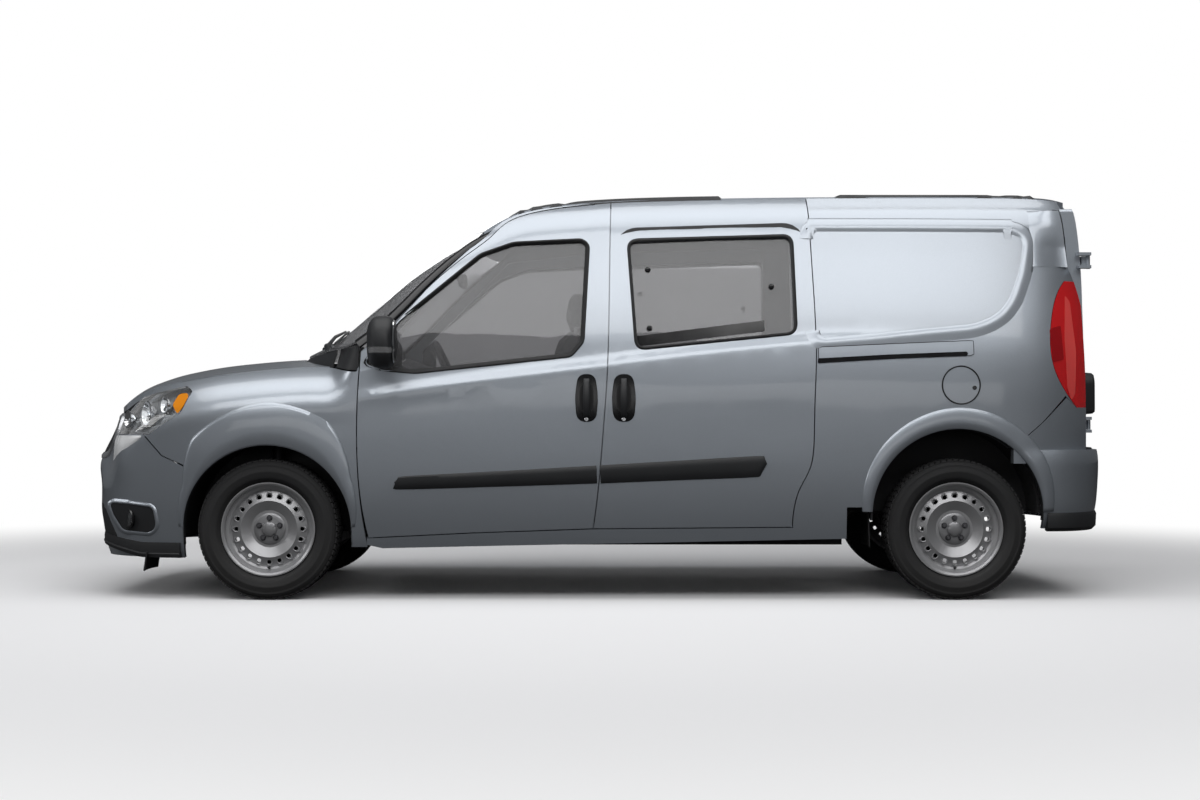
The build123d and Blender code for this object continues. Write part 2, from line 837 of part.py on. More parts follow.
def tail_outline(z, inset):
    tuck = rear_bumper_tuck(z) + inset
    half = [(x - tuck * clamp((x - rear(243)) / 400), half_width - drop - tuck * (1 - drop / half_width) - 3)
            for x, drop in tail_points]
    half[-1] = (half[-1][0], 0)
    return [(x, -y) for x, y in half] + [(x, y) for x, y in reversed(half[:-1])]


def tail_shell():
    sections = []
    for z in rear_bumper_levels:
        outer = tail_outline(z, 0)
        inner = tail_outline(z, bumper_thickness)
        with BuildSketch(Plane.XY.offset(z)) as section:
            with BuildLine():
                Spline(*outer)
                Spline(*inner)
                Line(outer[0], inner[0])
                Line(outer[-1], inner[-1])
            make_face()
        sections.append(section.sketch.face())
    with BuildPart() as shell:
        loft(sections=sections)
    return shell.part


def corner_block(side, outline, depth):
    """A piece of the body's rear corner, inside an outline seen from the side."""
    with BuildPart() as block:
        extrude(
            to_extrude=side_face(rear(150), rear(650), 17, cab_levels, side),
            amount=depth, dir=(0, -side, 0),
        )
        across(outline, Mode.INTERSECT)
        add(door_space, mode=Mode.SUBTRACT)
    return block.part


light_edge = shift(tail_light_outline, 3, 0)
light_corner = shift(corner_edge(tail_light_outline[-1][1], tail_light_outline[0][1], 5), -2, 0)
with BuildSketch(Plane.XZ) as light_outline:
    with BuildLine():
        Spline(*light_edge)
        Line(light_edge[-1], light_corner[0])
        Spline(*light_corner)
        Line(light_corner[-1], light_edge[0])
    make_face()
light_left = corner_block(LEFT, light_outline.sketch, 95)
with BuildPart() as tail_lights:
    add(light_left)
    mirror(light_left, about=Plane.XZ)
tail_lights.part.label = "tail_lights"
export_step(tail_lights.part, "parts/tail_lights.step")

upper_seam = [(x + panel_gap, z) for x, z in bumper_seam]
upper_seam[0] = (upper_seam[0][0], upper_seam[0][1] - 8)
low_corner = corner_edge(rear_bumper_top - 60, tail_light_outline[-1][1] - seat_fit, 4)
with BuildSketch(Plane.XZ) as upper_outline:
    with BuildLine():
        Polyline(
            low_corner[0], (upper_seam[-1][0], low_corner[0][1]), *reversed(upper_seam),
            (tail_light_outline[-1][0], tail_light_outline[-1][1] - seat_fit), low_corner[-1],
        )
        Spline(*low_corner)
    make_face()
with BuildPart() as rear_bumper:
    add(tail_shell())
    across(arch_outline(rear_axle_x, rear_arch_radius, rear_arch_rise, 2), Mode.SUBTRACT)
    add(corner_block(LEFT, upper_outline.sketch, 60))
    add(corner_block(RIGHT, upper_outline.sketch, 60))
    for side in (LEFT, RIGHT):
        for low in hinge_lugs(rear_hinge_low):
            add(hinge_leaf(side, low, lug_height, 1))
rear_bumper.part.label = "rear_bumper"
export_step(rear_bumper.part, "parts/rear_bumper.step")

door_edges = {"left": (-rear_door_half, rear_door_split - panel_gap / 2),
              "right": (rear_door_split + panel_gap / 2, rear_door_half)}
window_margin = 95
window_bottom = 1130
for name, (low, high) in door_edges.items():
    pane_box = (low + window_margin, window_bottom, high - window_margin, rear_door_top - 110)
    with BuildPart() as rear_door:
        extrude(to_extrude=rear_face(), amount=door_thickness, dir=(-1, 0, 0))
        door_box = facing_box(low, rear_door_bottom, high, rear_door_top, 14)
        lengthwise(door_box, rear(0), rear(900), Mode.INTERSECT)
        lengthwise(facing_box(*pane_box, 40), rear(0), rear(900), Mode.SUBTRACT)
        for z in (rear_hinge_low, rear_hinge_high):
            add(hinge_leaf(SIDES[name], z - barrel_half, 2 * barrel_half, -1))
    rear_door.part.label = f"rear_door_{name}"
    export_step(rear_door.part, f"parts/rear_door_{name}.step")
    with BuildPart() as rear_glass:
        extrude(to_extrude=rear_face().moved(Location((-glass_inset, 0, 0))), amount=glass_thickness,
                dir=(-1, 0, 0))
        lengthwise(facing_box(*pane_box, 40, glass_fit), rear(0), rear(900), Mode.INTERSECT)
    rear_glass.part.label = f"rear_door_glass_{name}"
    export_step(rear_glass.part, f"parts/rear_door_glass_{name}.step")

with BuildPart() as slide_left:
    extrude(
        to_extrude=side_face(front(1440), rear(-560), 17, cab_levels, LEFT, glass_inset),
        amount=glass_thickness, dir=(0, 1, 0),
    )
    across(rounded_outline(window_slide, 45, -glass_fit), Mode.INTERSECT)
with BuildPart() as sliding_door_glass:
    add(slide_left.part)
    mirror(slide_left.part, about=Plane.XZ)
sliding_door_glass.part.label = "sliding_door_glass"
export_step(sliding_door_glass.part, "parts/sliding_door_glass.step")

# ---- floor, cowl and dashboard ----
inner_half = min(side_y(x, z) for x in spread(front(450), rear(-760), 30)
                 for z in (cab_floor_z - floor_thickness, cab_floor_z)) - wall_thickness - seat_fit
tail_half = 706
bulkhead_x = front(420)
step_x = front(1560)
with BuildPart() as floor_pan:
    with BuildSketch(Plane.XZ):
        with BuildLine():
            Polyline(
                (bulkhead_x, bulkhead_top), (bulkhead_x, cab_floor_z), (step_x, cab_floor_z),
                (step_x, load_floor_z), (rear(530), load_floor_z), (rear(530), load_floor_z - floor_thickness),
                (step_x + floor_thickness, load_floor_z - floor_thickness),
                (step_x + floor_thickness, cab_floor_z - floor_thickness),
                (bulkhead_x - floor_thickness, cab_floor_z - floor_thickness),
                (bulkhead_x - floor_thickness, bulkhead_top), close=True,
            )
        make_face()
    extrude(amount=inner_half, both=True)
    # wheel houses over the rear wheels
    for side in (LEFT, RIGHT):
        with BuildSketch(Plane.XZ.offset(-side * 500)):
            with Locations((rear_axle_x, tyre_radius + rear_arch_rise)):
                Circle(rear_arch_radius + 22)
            with Locations((rear_axle_x, tyre_radius + rear_arch_rise + 480)):
                Rectangle(1000, 960, mode=Mode.INTERSECT)
        extrude(amount=side * -(inner_half - 500))
        with BuildSketch(Plane.XZ.offset(-side * 520)):
            with Locations((rear_axle_x, tyre_radius + rear_arch_rise)):
                Circle(rear_arch_radius + 6)
        extrude(amount=side * -(inner_half - 500), mode=Mode.SUBTRACT)
    # side rails under the floor
    for side in (LEFT, RIGHT):
        with BuildSketch(Plane.YZ.offset(front(430))):
            with Locations((side * 520, cab_floor_z - floor_thickness - 30)):
                Rectangle(90, 62)
        extrude(amount=rear(-480) - front(430))
    with BuildSketch(Plane.XY) as floor_outline:
        with BuildLine():
            Polyline(
                (front(0), -inner_half), (rear(300), -inner_half), (rear(530), -tail_half),
                (rear(530), tail_half), (rear(300), inner_half), (front(0), inner_half), close=True,
            )
        make_face()
    extrude(to_extrude=floor_outline.sketch, amount=REACH, both=True, mode=Mode.INTERSECT)
floor_pan.part.label = "floor_pan"
export_step(floor_pan.part, "parts/floor_pan.step")

cowl_thickness = 24
pillar_foot_depth = 90
glass_post_x = front(380)
glass_post_y = 700
glass_post_radius = 8
glass_pad = 1.1
plenum_front = front(267)
plenum_step = front(330)
plenum_nose_half = 735
plenum_rear = front(413)
plenum_half = 806
plenum_thickness = 36
foot_low = [(x, meeting_height(x, hood_top) + 4) for x in spread(front(300), front(405), 8)]


def cowl_face():
    """The panel between the hood's rear edge and the windshield's foot."""
    rows = []
    for y in spread(-735, 735, 21):
        low = hood_rear_line(abs(y)) + panel_gap + 3
        high = screen_foot_line(abs(y)) - seat_fit
        z_low = hood_top(low, y) - 8
        z_high = roof_top(high, y) - 10
        rows.append([Vector(low + (high - low) * t, y, z_low + (z_high - z_low) * t)
                     for t in (0, 0.33, 0.67, 1)])
    return Face.make_surface_from_array_of_points(rows, tol=surface_tolerance, min_deg=3)


def pillar_foot(side):
    """The block under the foot of a windshield pillar, flush with the side."""
    foot_top = pillar_edge(front(300), front(414), 14, 14, 4)
    with BuildSketch(Plane.XZ) as foot:
        with BuildLine():
            Polyline(foot_top[0], *foot_low, (front(413), 1060), foot_top[-1])
            Spline(*foot_top)
        make_face()
    with BuildPart() as block:
        extrude(to_extrude=side_face(front(250), front(480), 7, fender_levels_high, side),
                amount=pillar_foot_depth, dir=(0, -side, 0))
        across(foot.sketch, Mode.INTERSECT)
    return block.part


pillar_feet = {side: pillar_foot(side) for side in (LEFT, RIGHT)}
with BuildPart() as cowl_panel:
    extrude(to_extrude=cowl_face(), amount=cowl_thickness, dir=(0, 0, -1))
    for side in (LEFT, RIGHT):
        add(pillar_feet[side])
        with BuildSketch(Plane.XY.offset(bulkhead_top + seat_fit)):
            with Locations((glass_post_x, side * glass_post_y)):
                Circle(glass_post_radius)
        glass_underside = roof_top(glass_post_x - glass_post_radius, glass_post_y + glass_post_radius) - 9
        extrude(amount=glass_underside + glass_pad - seat_fit - bulkhead_top)
    with BuildSketch(Plane.XY.offset(bulkhead_top + seat_fit)):
        with Locations(((plenum_front + plenum_rear) / 2, 0)):
            Rectangle(plenum_rear - plenum_front, 2 * plenum_nose_half)
        with Locations(((plenum_step + plenum_rear) / 2, 0)):
            Rectangle(plenum_rear - plenum_step, 2 * plenum_half)
    extrude(amount=plenum_thickness)
cowl_panel.part.label = "cowl_panel"
export_step(cowl_panel.part, "parts/cowl_panel.step")

# ---- steering wheel ----
driver_y = 375
column_tilt = 24
wheel_centre = (front(790), -driver_y, 1010)
column_dir = (cos(radians(column_tilt)), 0, sin(radians(column_tilt)))
column_plane = Plane(origin=wheel_centre, x_dir=(0, 1, 0), z_dir=column_dir)
steering_wheel_radius = 180
with BuildPart() as steering_wheel:
    with BuildSketch(Plane(origin=wheel_centre, x_dir=column_dir, z_dir=(0, -1, 0))):
        with Locations((0, steering_wheel_radius)):
            Circle(15)
    revolve(axis=Axis(wheel_centre, column_dir))
    with BuildSketch(column_plane.offset(-28)):
        Circle(62)
        with Locations((0, -75)):
            Rectangle(34, 190)
        with Locations((0, 0)):
            Rectangle(346, 34)
    extrude(amount=24)
    with BuildSketch(column_plane.offset(-60)):
        Circle(22)
    extrude(amount=40)
steering_wheel.part.label = "steering_wheel"
export_step(steering_wheel.part, "parts/steering_wheel.step")
column_end = 60 + glass_fit
with BuildPart() as steering_column:
    with BuildSketch(column_plane.offset(-column_end)):
        Circle(30)
    extrude(amount=-240)
steering_column.part.label = "steering_column"
export_step(steering_column.part, "parts/steering_column.step")

dash_half = 690
dash_x = front(470)
with BuildPart() as dashboard:
    with BuildSketch(Plane.XZ):
        with BuildLine():
            FilletPolyline((dash_x, 1040), (dash_x, 690), (dash_x + 210, 640), (dash_x + 300, 860),
                           (dash_x + 250, 985), (dash_x + 120, 1050), radius=22, close=True)
        make_face()
    extrude(amount=dash_half, both=True)
    with BuildSketch(Plane.XZ):
        with BuildLine():
            FilletPolyline((dash_x + 40, 660), (dash_x + 260, 660), (dash_x + 330, cab_floor_z + seat_fit),
                           (dash_x + 40, cab_floor_z + seat_fit), radius=12, close=True)
        make_face()
    extrude(amount=120, both=True)
    with BuildSketch(column_plane.offset(-column_end + 100)):
        Circle(30 + seat_fit)
    extrude(amount=-500, mode=Mode.SUBTRACT)
dashboard.part.label = "dashboard"
export_step(dashboard.part, "parts/dashboard.step")

# ---- seats ----
seat_x = front(1000)
seat_y = driver_y
seat_base_z = 560
for name, side in SIDES.items():
    with BuildPart() as seat:
        with BuildSketch(Plane.XZ.offset(-side * seat_y)):
            with BuildLine():
                FilletPolyline((seat_x - 270, seat_base_z), (seat_x - 290, seat_base_z + 130),
                               (seat_x + 190, seat_base_z + 110), (seat_x + 350, seat_base_z + 660),
                               (seat_x + 450, seat_base_z + 660), (seat_x + 320, seat_base_z),
                               radius=38, close=True)
            make_face()
        extrude(amount=245, both=True)
        with BuildSketch(Plane.XZ.offset(-side * seat_y)):
            with BuildLine():
                FilletPolyline((seat_x + 352, seat_base_z + 655), (seat_x + 372, seat_base_z + 850),
                               (seat_x + 455, seat_base_z + 840), (seat_x + 440, seat_base_z + 655),
                               radius=22, close=True)
            make_face()
        extrude(amount=125, both=True)
        with BuildSketch(Plane.XY.offset(cab_floor_z + glass_fit)):
            with Locations((seat_x, side * seat_y)):
                Rectangle(400, 380)
        extrude(amount=seat_base_z - cab_floor_z - glass_fit + 20)
    seat.part.label = f"seat_{name}"
    export_step(seat.part, f"parts/seat_{name}.step")

# ---- mirrors ----
mirror_x = front(566)
sail_inset = 2


def mirror_sail(side):
    """The plate in the front corner of the door window that carries the mirror."""
    with BuildPart() as sail:
        extrude(
            to_extrude=side_face(front(380), front(1580), 17, cab_levels, side, sail_inset),
            amount=glass_inset - sail_inset - glass_fit, dir=(0, -side, 0),
        )
        across(rounded_outline(window_front, 18, -glass_fit), Mode.INTERSECT)
        across(straight_outline((front(400), 900), (front(640), 900), (front(640), 1050), (front(540), 1300),
                                (front(400), 1300)), Mode.INTERSECT)
    return sail.part


mirror_sections = ((935, 66, 150, 30), (985, 112, 226, 6), (1045, 118, 238, 0), (1078, 84, 196, 0))
for name, side in SIDES.items():
    with BuildPart() as mirror_body:
        for y, width, height, drop in mirror_sections:
            with BuildSketch(Plane.XZ.offset(-side * y)):
                with Locations((mirror_x, 1160 - drop)):
                    RectangleRounded(width, height, 30)
        loft()
        with BuildSketch(Plane.XZ.offset(-side * 876)):
            with Locations((mirror_x - 6, 1078)):
                RectangleRounded(84, 48, 20)
        extrude(amount=-side * 74)
        add(mirror_sail(side))
    mirror_body.part.label = f"mirror_{name}"
    export_step(mirror_body.part, f"parts/mirror_{name}.step")

# ---- fuel flap ----
with BuildPart() as fuel_flap:
    extrude(to_extrude=side_face(rear(-200), rear(200), 9, cab_levels, LEFT),
            amount=fuel_flap_thickness, dir=(0, 1, 0))
    with BuildSketch(Plane.XZ) as disc:
        with Locations((fuel_flap_x, fuel_flap_z)):
            Circle(fuel_flap_radius - panel_gap / 2)
    across(disc.sketch, Mode.INTERSECT)
fuel_flap.part.label = "fuel_flap"
export_step(fuel_flap.part, "parts/fuel_flap.step")

# ---- wheels, knuckles and axles ----
rim_width = 172
disc_offset = 22
hub_bore = 32
spindle_fit = 0.3
tyre_seat = 0.3
vent_radius = 149
vent_count = 20
vent_size = (26, 17)
bead_radius = rim_radius - 9
barrel_radius = rim_radius - 28


def wheel_plane(x, side):
    """A plane through a wheel's axis: local x points outwards, local y up."""
    return Plane(origin=(x, side * half_track, tyre_radius), x_dir=(0, side, 0), z_dir=(side, 0, 0))


def wheel_axis(x, side):
    return Axis((x, side * half_track, tyre_radius), (0, 1, 0))


half_rim = rim_width / 2
half_tyre = tyre_width / 2
corners = {
    "front_left": (front_axle_x, LEFT), "front_right": (front_axle_x, RIGHT),
    "rear_left": (rear_axle_x, LEFT), "rear_right": (rear_axle_x, RIGHT),
}
bead_half = half_rim - 10
for name, (x, side) in corners.items():
    with BuildPart() as tyre:
        with BuildSketch(wheel_plane(x, side)):
            with BuildLine():
                Line((-bead_half, bead_radius + tyre_seat), (bead_half, bead_radius + tyre_seat))
                for s in (-1, 1):
                    Line((s * bead_half, bead_radius + tyre_seat), (s * bead_half, rim_radius + 2))
                    Spline((s * bead_half, rim_radius + 2), (s * (half_rim + 7), rim_radius + 14),
                           (s * half_tyre, 262), (s * (half_tyre - 10), 300), (s * (half_tyre - 24), 312))
                Spline((-half_tyre + 24, 312), (0, tyre_radius), (half_tyre - 24, 312))
            make_face()
        revolve(axis=wheel_axis(x, side))
    tyre.part.label = f"tyre_{name}"
    export_step(tyre.part, f"parts/tyre_{name}.step")
    with BuildPart() as rim:
        with BuildSketch(wheel_plane(x, side)):
            with BuildLine():
                Polyline(
                    (-half_rim, rim_radius), (-half_rim + 6, rim_radius), (-half_rim + 9, bead_radius),
                    (-half_rim + 34, bead_radius), (-half_rim + 46, barrel_radius + 4),
                    (half_rim - 46, barrel_radius + 4), (half_rim - 34, bead_radius),
                    (half_rim - 9, bead_radius), (half_rim - 6, rim_radius),
                    (half_rim, rim_radius), (half_rim, rim_radius - 5), (half_rim - 6, bead_radius - 5),
                    (half_rim - 36, bead_radius - 5), (disc_offset + 26, barrel_radius - 2),
                    (disc_offset + 20, 172), (disc_offset + 38, 128), (disc_offset + 16, 84),
                    (disc_offset + 16, hub_bore), (-40, hub_bore), (-40, 66), (disc_offset + 4, 72),
                    (disc_offset + 4, 88), (disc_offset + 28, 128), (disc_offset + 10, 176),
                    (disc_offset - 6, barrel_radius - 2), (-half_rim + 44, barrel_radius - 2),
                    (-half_rim + 32, bead_radius - 5), (-half_rim + 3, bead_radius - 5),
                    (-half_rim, rim_radius - 5), close=True,
                )
            make_face()
        revolve(axis=wheel_axis(x, side))
        vent_plane = Plane(origin=(x, side * half_track, tyre_radius), x_dir=(1, 0, 0), z_dir=(0, side, 0))
        with BuildSketch(vent_plane):
            with PolarLocations(vent_radius, vent_count):
                Ellipse(vent_size[1] / 2, vent_size[0] / 2)
        extrude(amount=90, mode=Mode.SUBTRACT)
    rim.part.label = f"rim_{name}"
    export_step(rim.part, f"parts/rim_{name}.step")

spindle_radius = hub_bore - spindle_fit
knuckle_foot_z = tyre_radius - 96
knuckle_head_z = tyre_radius + 110
for name, side in SIDES.items():
    with BuildPart() as knuckle:
        with BuildSketch(Plane.XZ.offset(-side * (kingpin_y - 32))):
            with Locations((front_axle_x, tyre_radius)):
                Circle(62)
            with Locations((front_axle_x, (knuckle_foot_z + knuckle_head_z) / 2)):
                Rectangle(64, knuckle_head_z - knuckle_foot_z)
        extrude(amount=-side * 40)
        with BuildSketch(Plane.XZ.offset(-side * (kingpin_y - 10))):
            with Locations((front_axle_x, tyre_radius)):
                Circle(spindle_radius)
        extrude(amount=-side * (half_track + disc_offset + 14 - kingpin_y + 10))
    knuckle.part.label = f"knuckle_{name}"
    export_step(knuckle.part, f"parts/knuckle_{name}.step")

arm_gap = 0.3
tower_top = 905
subframe_top = 255
hood_stop_y = 560
with BuildPart() as front_subframe:
    with BuildSketch(Plane.XY.offset(subframe_top - 50)):
        with Locations((front_axle_x + 40, 0)):
            Rectangle(330, 700)
    extrude(amount=50)
    for side in (LEFT, RIGHT):
        with BuildSketch(Plane.XY.offset(knuckle_foot_z - arm_gap - 20)):
            with BuildLine():
                Polyline(
                    (front(-24), side * (kingpin_y + 10)), (front(24), side * (kingpin_y + 10)),
                    (front(190), side * 320), (front(-110), side * 320), close=True,
                )
            make_face()
        extrude(amount=20)
        with BuildSketch(Plane.XY.offset(knuckle_head_z + arm_gap)):
            with Locations((front_axle_x, side * (kingpin_y - 72))):
                Rectangle(44, 190)
        extrude(amount=18)
        with BuildSketch(Plane.XY.offset(knuckle_head_z + arm_gap)):
            with Locations((front_axle_x, side * 572)):
                Circle(27)
        extrude(amount=tower_top - knuckle_head_z - arm_gap)
        fender_inside = min(side_y(front_axle_x + dx, tower_top) for dx in (-110, 110)) - fender_thickness
        plate_width = fender_inside - seat_fit - 420
        with BuildSketch(Plane.XY.offset(tower_top - 30)):
            with Locations((front_axle_x, side * (420 + plate_width / 2))):
                Rectangle(220, plate_width)
        extrude(amount=30)
        with BuildSketch(Plane.XY.offset(tower_top)):
            with Locations((front_axle_x, side * hood_stop_y)):
                Circle(12)
        extrude(amount=hood_top(front_axle_x - 12, hood_stop_y + 12) - hood_thickness - seat_fit - tower_top)
        with BuildSketch(Plane.YZ.offset(front_axle_x - 110)):
            with Locations((side * 425, 560)):
                Rectangle(20, 690)
        extrude(amount=220)
        with BuildSketch(Plane.YZ.offset(front_axle_x - 620)):
            with Locations((side * 400, 560)):
                Rectangle(70, 110)
        extrude(amount=620 + 420 - floor_thickness - seat_fit)
        with BuildSketch(Plane.YZ.offset(front_axle_x - 100)):
            with Locations((side * 400, 320)):
                Rectangle(60, 400)
        extrude(amount=200)
front_subframe.part.label = "front_subframe"
export_step(front_subframe.part, "parts/front_subframe.step")

liner_radius = bulkhead_x - floor_thickness - seat_fit - front_axle_x
liner_inner = 466
liner_outer = half_width - 108
liner_wall = 5
with BuildPart() as wheel_liners:
    for side in (LEFT, RIGHT):
        with BuildSketch(Plane.XZ.offset(-side * liner_inner)):
            with Locations((front_axle_x, tyre_radius)):
                Circle(liner_radius)
                Circle(liner_radius - liner_wall, mode=Mode.SUBTRACT)
            with Locations((front_axle_x, tyre_radius + 470)):
                Rectangle(1000, 1000, mode=Mode.INTERSECT)
        extrude(amount=-side * (liner_outer - liner_inner))
        with BuildSketch(Plane.XZ.offset(-side * liner_inner)):
            with Locations((front_axle_x, tyre_radius)):
                Circle(liner_radius)
            with Locations((front_axle_x, tyre_radius + 470)):
                Rectangle(1000, 1000, mode=Mode.INTERSECT)
        extrude(amount=-side * liner_wall)
        with BuildSketch(Plane.XY.offset(600)):
            with Locations((front_axle_x, side * 572)):
                Circle(34)
        extrude(amount=200, mode=Mode.SUBTRACT)
wheel_liners.part.label = "wheel_liners"
export_step(wheel_liners.part, "parts/wheel_liners.step")

with BuildPart() as engine_block:
    with BuildSketch(Plane.XY.offset(subframe_top + seat_fit)):
        with Locations((front_axle_x - 60, 0)):
            RectangleRounded(560, 690, 40)
    extrude(amount=600)
engine_block.part.label = "engine_block"
export_step(engine_block.part, "parts/engine_block.step")

spring_y = 455
with BuildPart() as rear_axle:
    with BuildSketch(Plane.XZ):
        with Locations((rear_axle_x, tyre_radius)):
            Circle(36)
    extrude(amount=half_track - 66, both=True)
    for side in (LEFT, RIGHT):
        with BuildSketch(Plane.XZ.offset(-side * (half_track - 74))):
            with Locations((rear_axle_x, tyre_radius)):
                Circle(118)
        extrude(amount=-side * 30)
        with BuildSketch(Plane.XZ.offset(-side * (half_track - 60))):
            with Locations((rear_axle_x, tyre_radius)):
                Circle(spindle_radius)
        extrude(amount=-side * (60 + disc_offset + 14))
        with BuildSketch(Plane.XZ.offset(-side * (spring_y - 30))):
            with BuildLine():
                low = ThreePointArc((rear(-560), 420), (rear(0), tyre_radius + 33), (rear(520), 430))
                high = ThreePointArc((rear(-560), 448), (rear(0), tyre_radius + 61), (rear(520), 458))
                Line(low @ 0, high @ 0)
                Line(low @ 1, high @ 1)
            make_face()
        extrude(amount=-side * 60)
        for x, z in ((rear_axle_x - 545, 434), (rear_axle_x + 505, 444)):
            with BuildSketch(Plane.XZ.offset(-side * (spring_y - 30))):
                with Locations((x, (z + load_floor_z - floor_thickness) / 2)):
                    Rectangle(44, load_floor_z - floor_thickness - z)
            extrude(amount=-side * 60)
rear_axle.part.label = "rear_axle"
export_step(rear_axle.part, "parts/rear_axle.step")

muffler_y = 250
muffler_height = 160
muffler_z = load_floor_z - floor_thickness - muffler_height / 2
pipe_radius = 27
pipe_z = cab_floor_z - floor_thickness - pipe_radius
with BuildPart() as exhaust_and_tank:
    with BuildSketch(Plane.XY.offset(250)):
        with Locations((rear_axle_x - 800, -210)):
            RectangleRounded(620, 380, 60)
    extrude(amount=load_floor_z - floor_thickness - 250)
    with BuildSketch(Plane.YZ.offset(rear_axle_x + 190)):
        with Locations((muffler_y, muffler_z)):
            SlotOverall(330, muffler_height)
    extrude(amount=420)
    with BuildLine() as pipe_route:
        FilletPolyline(
            (front_axle_x + 330, muffler_y, pipe_z), (rear_axle_x - 480, muffler_y, pipe_z),
            (rear_axle_x - 160, muffler_y, muffler_z), (rear_axle_x + 200, muffler_y, muffler_z), radius=60,
        )
    with BuildSketch(Plane.YZ.offset(front_axle_x + 330)):
        with Locations((muffler_y, pipe_z)):
            Circle(pipe_radius)
    sweep(path=pipe_route.wire())
exhaust_and_tank.part.label = "exhaust_and_tank"
export_step(exhaust_and_tank.part, "parts/exhaust_and_tank.step")
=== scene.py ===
import math

import bmesh
import bpy
import numpy as np
from bpy.props import FloatProperty, FloatVectorProperty, IntProperty, PointerProperty
from mathutils import Matrix, Vector
from mathutils.bvhtree import BVHTree


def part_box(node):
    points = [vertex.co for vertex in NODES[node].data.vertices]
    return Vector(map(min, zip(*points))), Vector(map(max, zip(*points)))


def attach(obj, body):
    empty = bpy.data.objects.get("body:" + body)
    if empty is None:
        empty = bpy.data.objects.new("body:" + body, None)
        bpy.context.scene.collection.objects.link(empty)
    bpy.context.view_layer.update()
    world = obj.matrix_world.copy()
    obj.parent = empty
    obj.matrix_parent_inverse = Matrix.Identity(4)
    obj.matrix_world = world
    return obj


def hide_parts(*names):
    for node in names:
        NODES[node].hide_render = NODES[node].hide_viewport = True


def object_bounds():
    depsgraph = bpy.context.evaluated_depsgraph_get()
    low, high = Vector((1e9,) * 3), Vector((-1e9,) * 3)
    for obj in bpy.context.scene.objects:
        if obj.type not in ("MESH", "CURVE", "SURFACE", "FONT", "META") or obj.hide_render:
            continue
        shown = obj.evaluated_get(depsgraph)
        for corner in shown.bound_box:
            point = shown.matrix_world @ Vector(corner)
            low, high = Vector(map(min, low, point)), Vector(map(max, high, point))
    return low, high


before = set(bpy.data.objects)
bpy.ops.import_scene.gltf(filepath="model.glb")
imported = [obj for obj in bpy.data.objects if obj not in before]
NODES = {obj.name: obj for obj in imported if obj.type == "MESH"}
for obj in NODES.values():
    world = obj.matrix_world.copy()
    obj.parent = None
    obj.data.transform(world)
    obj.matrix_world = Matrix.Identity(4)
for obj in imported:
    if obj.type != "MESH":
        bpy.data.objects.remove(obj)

bl_info = {
    "name": "Compact Cargo Van Finish",
    "version": (1, 0, 0),
    "blender": (4, 5, 0),
    "location": "View3D > Sidebar > Van",
    "description": "Paint, glass, trim, wheels and cabin for the compact cargo van",
    "category": "Object",
}

LEFT, RIGHT = -1, 1
SIDES = {"left": LEFT, "right": RIGHT}
CORNERS = {
    "front_left": LEFT, "front_right": RIGHT, "rear_left": LEFT, "rear_right": RIGHT,
}
ROOT = "root"
VAN_LOW, VAN_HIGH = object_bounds()


def centre_of(node):
    low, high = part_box(node)
    return (low + high) / 2


FRONT_AXLE = centre_of("tyre_front_left")
REAR_AXLE = centre_of("tyre_rear_left")
AXLE_Z = FRONT_AXLE.z
TRACK = abs(FRONT_AXLE.y)


def front(mm):
    """A station along the van, in mm behind the front axle."""
    return FRONT_AXLE.x + mm / 1000


def rear(mm):
    """A station along the van, in mm behind the rear axle."""
    return REAR_AXLE.x + mm / 1000


def metres(points):
    return [tuple(c / 1000 for c in p) for p in points]


# ---------------------------------------------------------------- materials
def node_tree(material):
    material.use_nodes = True
    material.node_tree.nodes.clear()
    return material.node_tree


def feed(tree, socket, value):
    """Links an output to a socket, or sets the socket to a constant."""
    if isinstance(value, bpy.types.NodeSocket):
        tree.links.new(value, socket)
    else:
        socket.default_value = value


def add_node(tree, kind, **inputs):
    node = tree.nodes.new(kind)
    for name, value in inputs.items():
        feed(tree, node.inputs[name.replace("_", " ")], value)
    return node


def combined(tree, operation, *values):
    """The result of a math node over sockets and numbers."""
    node = tree.nodes.new("ShaderNodeMath")
    node.operation = operation
    for socket, value in zip(node.inputs, values):
        feed(tree, socket, value)
    return node.outputs[0]


def ranged(tree, value, low, high):
    """A value from 0 to 1 carried over to a range."""
    return add_node(tree, "ShaderNodeMapRange", Value=value, To_Min=low, To_Max=high).outputs["Result"]


def object_place(tree):
    return tree.nodes.new("ShaderNodeTexCoord").outputs["Object"]


def blend_colour(tree, factor, first, second):
    mix = tree.nodes.new("ShaderNodeMix")
    mix.data_type = "RGBA"
    # The factor, A and B of a colour mix are its sockets 0, 6 and 7, and its colour is output 2.
    for place, value in ((0, factor), (6, first), (7, second)):
        feed(tree, mix.inputs[place], value)
    return mix.outputs[2]


def group_tree(name, inputs, outputs):
    """A shader node group with named sockets."""
    tree = bpy.data.node_groups.new(name, "ShaderNodeTree")
    for label, kind, default in inputs:
        tree.interface.new_socket(name=label, in_out="INPUT", socket_type=kind).default_value = default
    for label, kind in outputs:
        tree.interface.new_socket(name=label, in_out="OUTPUT", socket_type=kind)
    return tree, tree.nodes.new("NodeGroupInput"), tree.nodes.new("NodeGroupOutput")


